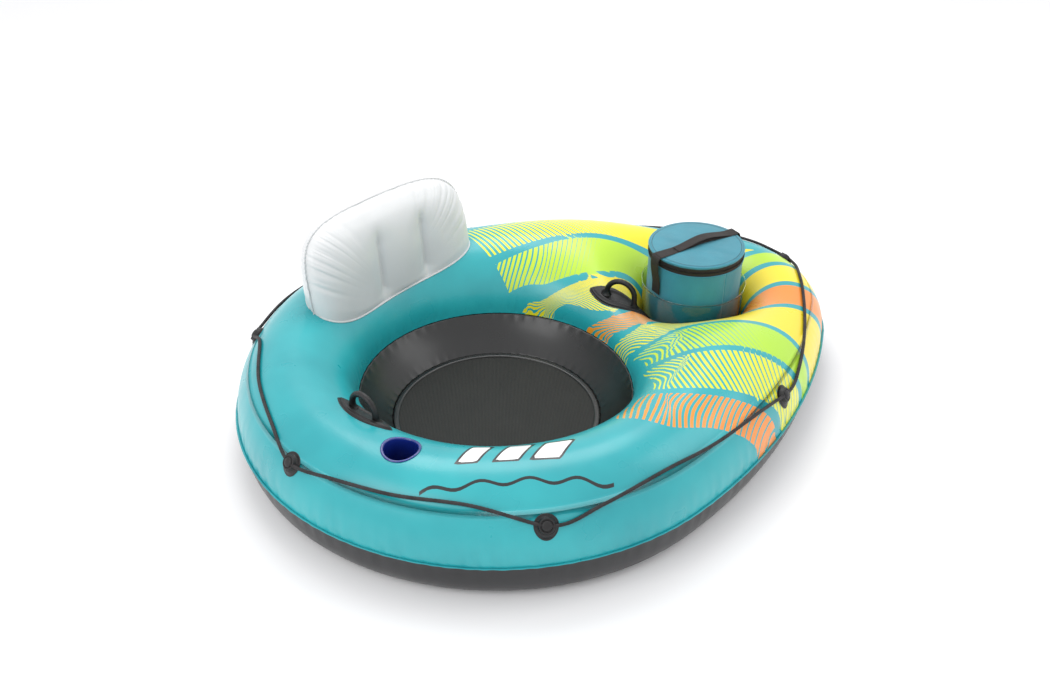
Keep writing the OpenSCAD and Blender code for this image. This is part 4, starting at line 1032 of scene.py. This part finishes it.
def make_guide(index):
    """A moulded guide: a thin welded foot, two raised rings and a ringed boss with a domed top."""
    profile = rounded_line([
        (GUIDE_R, 0.0001), (GUIDE_R, 0.0016), (0.0215, 0.0024), (0.0205, 0.0034), (0.0185, 0.0034),
        (0.0178, 0.0042), (0.0166, 0.0078), (0.0158, 0.0112), (0.0128, 0.0112), (0.0122, 0.0098),
        (0.0108, 0.0098), (0.0102, 0.0118), (0.0080, 0.0134), (0.0045, 0.0143), (0.0001, 0.0146),
    ], 0.0008, 0.0012)
    place, axes = skin_frame(np.array(ROPE_ROUTE[4 * index]) / 1000)
    a = np.linspace(0, 2 * math.pi, 72, endpoint=False)
    ring = np.stack([np.cos(a), np.sin(a)], axis=-1)
    flat = ring[:, None, :] * profile[None, :, :1]
    points = place + flat[..., :1] * axes[0] + flat[..., 1:] * axes[1] + profile[None, :, 1:] * axes[2]
    foot = profile[:, 1] < 0.003
    under = skin_z(points[..., :2])
    points[..., 2] = np.where(foot[None, :], under + profile[None, :, 1] + 0.0002, points[..., 2])
    mesh_piece(
        f"rope_guide_boss_{index + 1}", points.reshape(-1, 3),
        grid_faces(72, len(profile), wrap_rows=True, flip=True), RUBBER, "ring",
        [f"rope_guide_{index + 1}"], "moulded_black",
    )


# ---------------------------------------------------------------- the cooler bag and its socket
def threads_round(piece, turns, heights, radius):
    """Lets a weave run round a wall: metres round it and metres up it."""
    round_it = np.linspace(0, 2 * math.pi * radius, turns)
    s, z = np.meshgrid(round_it, heights, indexing="ij")
    keep_float(piece, "threads", np.stack([s, z, 0 * s], axis=-1).reshape(-1, 3))


def wall(name, profile, material, body, turns, ripple=None, **rest):
    """A sewn wall round the cooler's middle, with one seam, and threads that follow it."""
    profile = np.asarray(profile, dtype=float)
    a = np.linspace(0, 2 * math.pi, turns) - math.pi / 2
    r = np.repeat(profile[None, :, 0], turns, axis=0)
    z = np.repeat(profile[None, :, 1], turns, axis=0)
    if ripple:
        r, z = ripple(a[:, None], r, z)
    points = np.stack([
        COOLER[0] + r * np.cos(a)[:, None], COOLER[1] + r * np.sin(a)[:, None], z
    ], axis=-1)
    piece = mesh_piece(
        name, points.reshape(-1, 3), grid_faces(turns, len(profile), flip=True), material, body, **rest
    )
    way = np.concatenate([[0], np.cumsum(np.linalg.norm(np.diff(profile, axis=0), axis=1))])
    threads_round(piece, turns, way, profile[:, 0].max())
    return piece


def disc(name, radius, heights, material, body, rings=26, spokes=120, **rest):
    """A round panel whose height over its plan is given by a function of place."""
    r = radius * np.linspace(0.01, 1, rings)
    a = np.linspace(0, 2 * math.pi, spokes, endpoint=False)
    rr, aa = np.meshgrid(r, a, indexing="ij")
    x, y = rr * np.cos(aa), rr * np.sin(aa)
    z = heights(x, y, rr / radius)
    points = np.stack([COOLER[0] + x, COOLER[1] + y, z], axis=-1).reshape(-1, 3)
    faces = [tuple(f) for f in grid_faces(rings, spokes, wrap_cols=True)] + [tuple(range(spokes))]
    piece = mesh_piece(name, points, faces, material, body, **rest)
    keep_float(piece, "threads", np.stack([x, y, 0 * x], axis=-1).reshape(-1, 3))
    return piece


def hoop(name, radius, height, thick, material, body, turns=240, uneven_by=0.0, **rest):
    """Piping: a cord in a folded strip, sewn round the bag."""
    a = np.linspace(0, 2 * math.pi, turns, endpoint=False)
    r = radius + uneven_by * wobble(a / math.pi * 3, 1.0)
    line = np.column_stack([COOLER[0] + r * np.cos(a), COOLER[1] + r * np.sin(a), height + 0 * a])
    points, faces = tube_along(line, thick, 12, closed=True)
    piece = mesh_piece(name, points, faces, material, body, **rest)
    spots = np.stack([np.repeat(a * radius, 12), np.tile(np.arange(12) * thick / 2, turns)], axis=-1)
    keep_float(piece, "threads", np.column_stack([spots, 0 * spots[:, 0]]))
    return piece


def slack(a, r, z):
    """The bag's cloth hangs a little slack on its foam: soft upright and sloping folds."""
    up = (z - BAG_Z) / (ZIP_Z - BAG_Z)
    mid = np.sin(math.pi * np.clip(up, 0, 1)) ** 0.7
    upright = 0.0011 * wobble(a / (2 * math.pi) * 5 + 0.5 * up, 0.7)
    sloping = 0.0009 * wobble(a / math.pi * 6 - 1.2 * up, 2.6)
    return r + mid * (upright + sloping) - 0.0006, z


def make_socket():
    floor = 0.0205
    profile = [(0.001, floor), (SOCKET_R - 0.004, floor), (SOCKET_R, floor + 0.004)]
    profile += [(SOCKET_R + 0.0005, z) for z in np.linspace(0.03, 0.12, 12)]
    profile += [(SOCKET_R + 0.0005 + 0.006 * t, 0.12 + 0.092 * t) for t in np.linspace(0.1, 1, 14)]
    profile += [(SOCKET_R + 0.0078, SOCKET_TOP_Z - 0.0006), (SOCKET_R + 0.0078, SOCKET_TOP_Z + 0.0008),
                (SOCKET_R + 0.0056, SOCKET_TOP_Z + 0.0008)]

    def soft(a, r, z):
        up = smooth(0.13, SOCKET_TOP_Z, z)
        return r + up * (0.0007 * wobble(a / math.pi * 7, 1.1) + 0.0005 * np.cos(11 * a)), z

    socket = revolve(
        "cooler_socket_film", profile, CLEAR, "ring", COOLER, 200, soft,
        stands_for=["cooler_socket"], slot="clear_pvc",
    )
    add_modifier(socket, "SOLIDIFY", thickness=0.0008, offset=-1)


def make_bag():
    top = ZIP_Z - TAPE_H
    profile = [(0.001, BAG_Z + 0.0006), (BAG_R - 0.004, BAG_Z + 0.0006)]
    profile += [(BAG_R - 0.0005, z) for z in np.linspace(BAG_Z + 0.004, top - 0.0004, 60)]
    shell = wall(
        "bag_cloth_wall", profile, BAG_CLOTH, "cooler_bag", 221, slack,
        stands_for=["bag_shell"], slot="teal_fabric",
    )
    add_modifier(shell, "SOLIDIFY", thickness=0.0010, offset=-1)
    hoop("bag_foot_piping", BAG_R + 0.0016, BAG_Z + 0.0032, 0.0019, WEBBING, "cooler_bag",
         uneven_by=0.0002, stands_for=["bag_base_piping"], slot="black_webbing")
    hoop("bag_top_piping", BAG_R + 0.0002, top - 0.0008, 0.0012, BAG_CLOTH, "cooler_bag",
         uneven_by=0.0002, slot="teal_fabric")

    foam_r, liner_r = BAG_R - 0.0045, BAG_R - 0.0108
    sleeve = [(foam_r, 0.0240), (foam_r, top - 0.0012), (foam_r - 0.001, top - 0.0002),
              (foam_r - 0.005, top - 0.0002), (foam_r - 0.006, top - 0.0012), (foam_r - 0.006, 0.0240)]
    wall("foam_sleeve", rounded_line(sleeve, 0.01, 0.002), FOAM, "cooler_bag", 161,
         stands_for=["bag_foam_sleeve"], slot="white_foam")
    disc("foam_base", liner_r - 0.0005, lambda x, y, s: 0.0295 - 0.001 * s**8, FOAM, "cooler_bag",
         stands_for=["bag_foam_base"], slot="white_foam")

    def crinkle(a, r, z):
        soft = 0.0011 * wobble(a / math.pi * 7 + z * 9, 0.4) + 0.0007 * wobble(a / math.pi * 13 - z * 21, 3.0)
        return r + soft * smooth(0.03, 0.06, z) * smooth(0.297, 0.285, z), z

    inside = [(0.001, 0.0302), (liner_r - 0.006, 0.0302), (liner_r - 0.002, 0.0345)]
    inside += [(liner_r - 0.0014, z) for z in np.linspace(0.04, 0.294, 46)]
    inside += [(liner_r + 0.0028, 0.2965), (foam_r - 0.0004, 0.2972)]
    liner = wall("bag_foil_liner", inside, FOIL, "cooler_bag", 221, crinkle,
                 stands_for=["bag_liner"], slot="foil_liner")
    add_modifier(liner, "SOLIDIFY", thickness=0.0005, offset=0)


def make_zip():
    for node, body, low, high in (
        ("zip_tape_lower", "cooler_bag", ZIP_Z - TAPE_H, ZIP_Z - 0.0004),
        ("zip_tape_upper", "cooler_lid", ZIP_Z + 0.0004, ZIP_Z + TAPE_H),
    ):
        profile = [(BAG_R - 0.0003, z) for z in np.linspace(low, high, 12)]
        tape = wall(f"{node}_web", profile, WEBBING, body, 241,
                    lambda a, r, z: (r + 0.0004 * wobble(a / math.pi * 8, 1.3), z),
                    stands_for=[node], slot="black_webbing")
        add_modifier(tape, "SOLIDIFY", thickness=0.0009, offset=-1)
    # The coil starts beside the hinge at the back and runs round the front
    pitch, start, span = 0.0026, math.radians(130), math.radians(280)
    count = int(span * (BAG_R + 0.001) / pitch)
    for node, body, side in (("zip_teeth_lower", "cooler_bag", -1), ("zip_teeth_upper", "cooler_lid", 1)):
        points, faces = [], []
        for k in range(count):
            a = start + (k + (0.25 if side > 0 else 0.75)) * pitch / (BAG_R + 0.001)
            here = np.array([math.cos(a), math.sin(a), 0.0])
            tangent = np.array([-here[1], here[0], 0.0])
            t = np.linspace(0, 2 * math.pi, 9, endpoint=False)
            middle = np.array([*COOLER, ZIP_Z + side * 0.00105]) + here * (BAG_R + 0.0009)
            loop = middle + np.outer(np.cos(t) * 0.00045, here) + np.outer(np.sin(t) * 0.00085, [0, 0, 1])
            ring, quads = tube_along(loop, 0.00042, 6, closed=True, up=tangent)
            faces += [tuple(int(i) + len(points) for i in q) for q in quads]
            points += [tuple(p) for p in ring]
        mesh_piece(f"{node}_coil", points, faces, COIL, body, [node], "black_webbing")


def make_slider():
    """A locking slider and its stamped pull, with softened edges."""
    a = math.radians(45)
    out = np.array([math.cos(a), math.sin(a), 0.0])
    side = np.array([-out[1], out[0], 0.0])
    up = np.array([0.0, 0.0, 1.0])
    origin = np.array([*COOLER, ZIP_Z]) + out * (BAG_R + 0.0022)

    def plate(name, outline_points, near, far, body, node, bevel):
        n = len(outline_points)
        points = [origin + out * d + side * s + up * z for d in (near, far) for s, z in outline_points]
        faces = [tuple(range(n))[::-1], tuple(range(n, 2 * n))]
        faces += [(k, (k + 1) % n, n + (k + 1) % n, n + k) for k in range(n)]
        piece = mesh_piece(name, points, faces, ZIP_METAL, body, node, "zip_metal")
        add_modifier(piece, "BEVEL", width=bevel, segments=3, limit_method="ANGLE")
        add_modifier(piece, "WEIGHTED_NORMAL")
        return piece

    shield = [(-0.0030, -0.0065), (0.0030, -0.0065), (0.0042, -0.0020), (0.0045, 0.0030),
              (0.0030, 0.0065), (-0.0030, 0.0065), (-0.0045, 0.0030), (-0.0042, -0.0020)]
    plate("slider_body", shield, 0.0, 0.0024, "slider", ["zip_slider"], 0.0006)
    for sign in (-1, 1):
        lug = [(sign * 0.0015 - 0.0005, 0.0010), (sign * 0.0015 + 0.0005, 0.0010),
               (sign * 0.0015 + 0.0005, 0.0040), (sign * 0.0015 - 0.0005, 0.0040)]
        plate(f"slider_lug_{'near' if sign < 0 else 'far'}", lug, 0.0022, 0.0042, "slider", (), 0.0002)
    tab = [(-0.0008, 0.0028), (0.0008, 0.0028), (0.0010, -0.0030), (0.0034, -0.0060), (0.0035, -0.0205),
           (0.0022, -0.0232), (-0.0022, -0.0232), (-0.0035, -0.0205), (-0.0034, -0.0060), (-0.0010, -0.0030)]
    plate("pull_plate", tab, 0.0031, 0.0043, "pull_tab", ["zip_pull_tab"], 0.00035)
    for k in range(4):
        z = -0.0100 - 0.0026 * k
        rib = [(-0.0024, z), (0.0024, z), (0.0024, z + 0.0010), (-0.0024, z + 0.0010)]
        plate(f"pull_rib_{k + 1}", rib, 0.0040, 0.0048, "pull_tab", (), 0.0003)


def make_lid():
    def crown(x, y, s):
        quilt = 0.0005 * wobble(x / 0.09 + y / 0.13, 0.6) * (1 - s**4)
        return LID_Z - 0.0022 + 0.0030 * (1 - s**2) ** 0.8 + quilt

    lid = disc("lid_cloth_panel", BAG_R - 0.0022, crown, BAG_CLOTH, "cooler_lid", rings=36, spokes=160,
               stands_for=["lid_panel"], slot="teal_fabric")
    add_modifier(lid, "SOLIDIFY", thickness=0.0010, offset=-1)
    hoop("lid_edge_piping", BAG_R - 0.0004, LID_Z - 0.0030, 0.0022, BAG_CLOTH, "cooler_lid",
         uneven_by=0.0002, stands_for=["lid_piping"], slot="teal_fabric")
    hoop("lid_seam_line", BAG_R - 0.0070, LID_Z - 0.0012, 0.0007, WEBBING, "cooler_lid",
         uneven_by=0.0002, slot="black_webbing")
    gusset = [(BAG_R - 0.0003, ZIP_Z + TAPE_H - 0.0004), (BAG_R - 0.0001, LID_Z - 0.0044)]
    wall("lid_gusset", gusset, BAG_CLOTH, "cooler_lid", 241, slot="teal_fabric")
    disc("lid_foam_disc", BAG_R - 0.0024, lambda x, y, s: LID_Z - 0.0076 - 0.0012 * s**10, FOAM,
         "cooler_lid", stands_for=["lid_foam"], slot="white_foam")

    def crinkled(x, y, s):
        return LID_Z - 0.0085 - 0.0004 * (1 + wobble(x / 0.05, 1.0) * wobble(y / 0.06, 2.0))

    liner = disc("lid_foil_liner", BAG_R - 0.0020, crinkled, FOIL, "cooler_lid", rings=36, spokes=160,
                 stands_for=["lid_liner"], slot="foil_liner")
    add_modifier(liner, "SOLIDIFY", thickness=0.0004, offset=-1)


def strip(name, path, widths, thick, material, body, stands_for=(), slot=None, lean=0.0, across=(0, 1, 0)):
    """Webbing along a path in the upright plane, with rounded edges."""
    path = np.asarray(path, dtype=float)
    widths = np.broadcast_to(np.asarray(widths, dtype=float), (len(path),))
    ahead = np.gradient(path, axis=0)
    ahead /= np.linalg.norm(ahead, axis=1, keepdims=True)
    across = np.asarray(across, dtype=float) + lean * ahead
    across /= np.linalg.norm(across, axis=1, keepdims=True)
    normal = np.cross(ahead, across)
    normal /= np.linalg.norm(normal, axis=1, keepdims=True)
    normal *= np.where((normal * (path - [*COOLER, 0.15])).sum(-1, keepdims=True) > 0, 1, -1)
    half = np.linspace(-1, 1, 13)
    upper = np.column_stack([half, np.sqrt(np.clip(1 - half**14, 0, 1)) * 0.5])
    lower = np.column_stack([half[::-1], -np.sqrt(np.clip(1 - half[::-1] ** 14, 0, 1)) * 0.5])
    section = np.concatenate([upper, lower[1:-1]])
    points = (
        path[:, None, :]
        + across[:, None, :] * (widths[:, None] / 2 * section[None, :, 0])[..., None]
        + normal[:, None, :] * (thick * section[None, :, 1])[..., None]
    )
    cols = len(section)
    faces = list(grid_faces(len(path), cols, wrap_cols=True))
    faces += [tuple(range(cols)), tuple(range((len(path) - 1) * cols, len(path) * cols))[::-1]]
    piece = mesh_piece(name, points.reshape(-1, 3), faces, material, body, stands_for, slot)
    gone = np.concatenate([[0], np.cumsum(np.linalg.norm(np.diff(path, axis=0), axis=1))])
    threads = np.stack([
        widths[:, None] / 2 * section[None, :, 0], gone[:, None] + 0 * section[None, :, 0],
        0 * gone[:, None] + 0 * section[None, :, 0],
    ], axis=-1)
    keep_float(piece, "threads", threads.reshape(-1, 3))
    add_modifier(piece, "EDGE_SPLIT", split_angle=math.radians(60))
    return piece


def stitches(name, corners, normal, body, material, pitch=0.0032):
    """A row of lock stitches through the corners, each a short raised thread."""
    points, faces = [], []
    corners = [np.asarray(c, dtype=float) for c in corners]
    for a, b in zip(corners, corners[1:]):
        count = max(1, int(np.linalg.norm(b - a) / pitch))
        for k in range(count):
            p, q = a + (b - a) * (k + 0.12) / count, a + (b - a) * (k + 0.80) / count
            proud = normal * 0.0003
            line = np.array([p, p * 0.75 + q * 0.25 + proud, p * 0.25 + q * 0.75 + proud, q])
            ring, quads = tube_along(line, 0.00035, 6, up=normal)
            faces += [tuple(int(i) + len(points) for i in f) for f in quads]
            points += [tuple(v) for v in ring]
    return mesh_piece(name, points, faces, material, body, (), "black_webbing")


def strap_lie(s):
    """Height of the strap's slack bow over the lid, from -1 at one edge of the lid to 1."""
    return 0.0030 * np.cos(math.pi * s / 2) ** 2 + 0.0012 * np.sin(5 * s + 0.7) * (1 - s**6)


def make_strap():
    """The carry strap: webbing sewn up each side of the bag and lying slack, doubled, on the lid."""
    split = BAG_R + 0.0026
    rest = LID_Z + 0.0016
    s = np.linspace(-1, 1, 61)
    path = np.column_stack([COOLER[0] + s * split, COOLER[1] + 0 * s, rest + strap_lie(s)])
    narrow = STRAP_W - 0.004 * np.cos(math.pi * s / 2)
    strip(
        "strap_top_run", path, narrow, 0.0016, WEBBING, "cooler_lid", ["carry_strap_top"], "black_webbing"
    )
    s = np.linspace(-0.55, 0.80, 44)
    arch = 0.0026 + 0.0064 * np.sin(math.pi * (s + 0.55) / 1.35) ** 1.3 - 0.0008
    path = np.column_stack([
        COOLER[0] + s * split, COOLER[1] + 0.0016 * np.sin(4 * s), rest + strap_lie(s) + arch
    ])
    strip("strap_hand_loop", path, STRAP_W - 0.005, 0.0015, WEBBING, "cooler_lid", (), "black_webbing")
    # A sewn end leaves the bag's side, passes clear of the zip and meets the top run
    corners = [
        (BAG_R + 0.0016, 0.213), (BAG_R + 0.0016, 0.225), (BAG_R + 0.0024, 0.246),
        (BAG_R + 0.0075, 0.270), (BAG_R + 0.0108, 0.290), (BAG_R + 0.0110, 0.306),
        (BAG_R + 0.0088, 0.3155), (split + 0.0012, rest + 0.0010),
    ]
    line = smooth_route(np.array(corners), 8, False)
    low, high, half = 0.2155, 0.2420, 0.0125
    for side, name in ((-1, "inner"), (1, "outer")):
        path = np.column_stack([
            COOLER[0] + side * line[:, 0], COOLER[1] + 0 * line[:, 0], line[:, 1]
        ])
        strip(
            f"strap_{name}_end", path, STRAP_W - 0.001, 0.0016, WEBBING, "cooler_bag",
            [f"carry_strap_{name}_end"], "black_webbing",
        )
        wall_x = COOLER[0] + side * (BAG_R + 0.0026)
        box = [(wall_x, -half, low), (wall_x, half, low), (wall_x, half, high), (wall_x, -half, high),
               (wall_x, -half, low), (wall_x, half, high)]
        stitches(f"strap_{name}_box_stitch", box, np.array([side, 0, 0]), "cooler_bag", ROPE_YARN)


# ---------------------------------------------------------------- valves
def finish_valves():
    """The valves' turned and moulded shapes come from the frame, and get their plastics here."""
    for node, material in (
        ("main_valve_base", PLAIN_TEAL), ("main_valve_insert", RUBBER), ("main_valve_flap", GREY_FLAP),
        ("main_valve_cap", PLAIN_TEAL), ("backrest_valve_stem", WHITE_FILM),
        ("backrest_valve_cap", WHITE_FILM),
    ):
        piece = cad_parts[node]
        if not piece.material_slots:
            piece.data.materials.append(material)
        for place in piece.material_slots:
            place.link = "OBJECT"
            place.material = material


# ---------------------------------------------------------------- floor and light
def floor_material():
    """Seamless studio paper: matt, nearly white."""
    material, tree = new_material("matt_studio_paper")
    tone = two_tone(tree, uneven(tree, 0.8, 0, 1).outputs[0], "#f7f7f7", "#fbfbfb")
    shader = add(
        tree, "ShaderNodeBsdfPrincipled", {"Roughness": 0.9, "Specular IOR Level": 0.2},
        {"Base Color": tone.outputs[2]},
    )
    close(tree, shader)
    return material


def make_studio():
    bpy.ops.mesh.primitive_plane_add(size=40)
    floor = bpy.context.object
    floor.name = "studio_floor"
    floor.data.materials.append(floor_material())
    world = bpy.data.worlds.new("studio")
    bpy.context.scene.world = world
    world.use_nodes = True
    back = world.node_tree.nodes["Background"]
    back.inputs["Color"].default_value = linear("#fdfdff")
    back.inputs["Strength"].default_value = 1.0
    for name, at, size, power in (
        ("softbox_over", (0.35, 1.1, 2.6), (2.2, 1.4), 30),
        ("softbox_left", (-2.6, -0.6, 2.0), (1.6, 1.6), 19),
        ("softbox_right", (2.4, -1.4, 2.4), (1.4, 1.8), 12),
    ):
        light = bpy.data.lights.new(name, "AREA")
        light.shape = "RECTANGLE"
        light.size, light.size_y = size
        light.energy = power
        lamp = bpy.data.objects.new(name, light)
        bpy.context.scene.collection.objects.link(lamp)
        lamp.location = at
        lamp.rotation_mode = "QUATERNION"
        lamp.rotation_quaternion = (Vector((0, 0, 0.15)) - Vector(at)).to_track_quat("-Z", "Y")


make_rope()
make_ring()
make_outer_seam()
make_seat()
make_backrest()
make_handle("left_handle", seat_point(-HANDLE_REACH, 0.0), HANDLE_TURNS[0], "left_handle")
make_handle("right_handle", RIGHT_HANDLE, HANDLE_TURNS[1], "right_handle")
make_cup_holder()
for number in range(7):
    make_guide(number)
make_socket()
make_bag()
make_zip()
make_slider()
make_lid()
make_strap()
finish_valves()
make_studio()
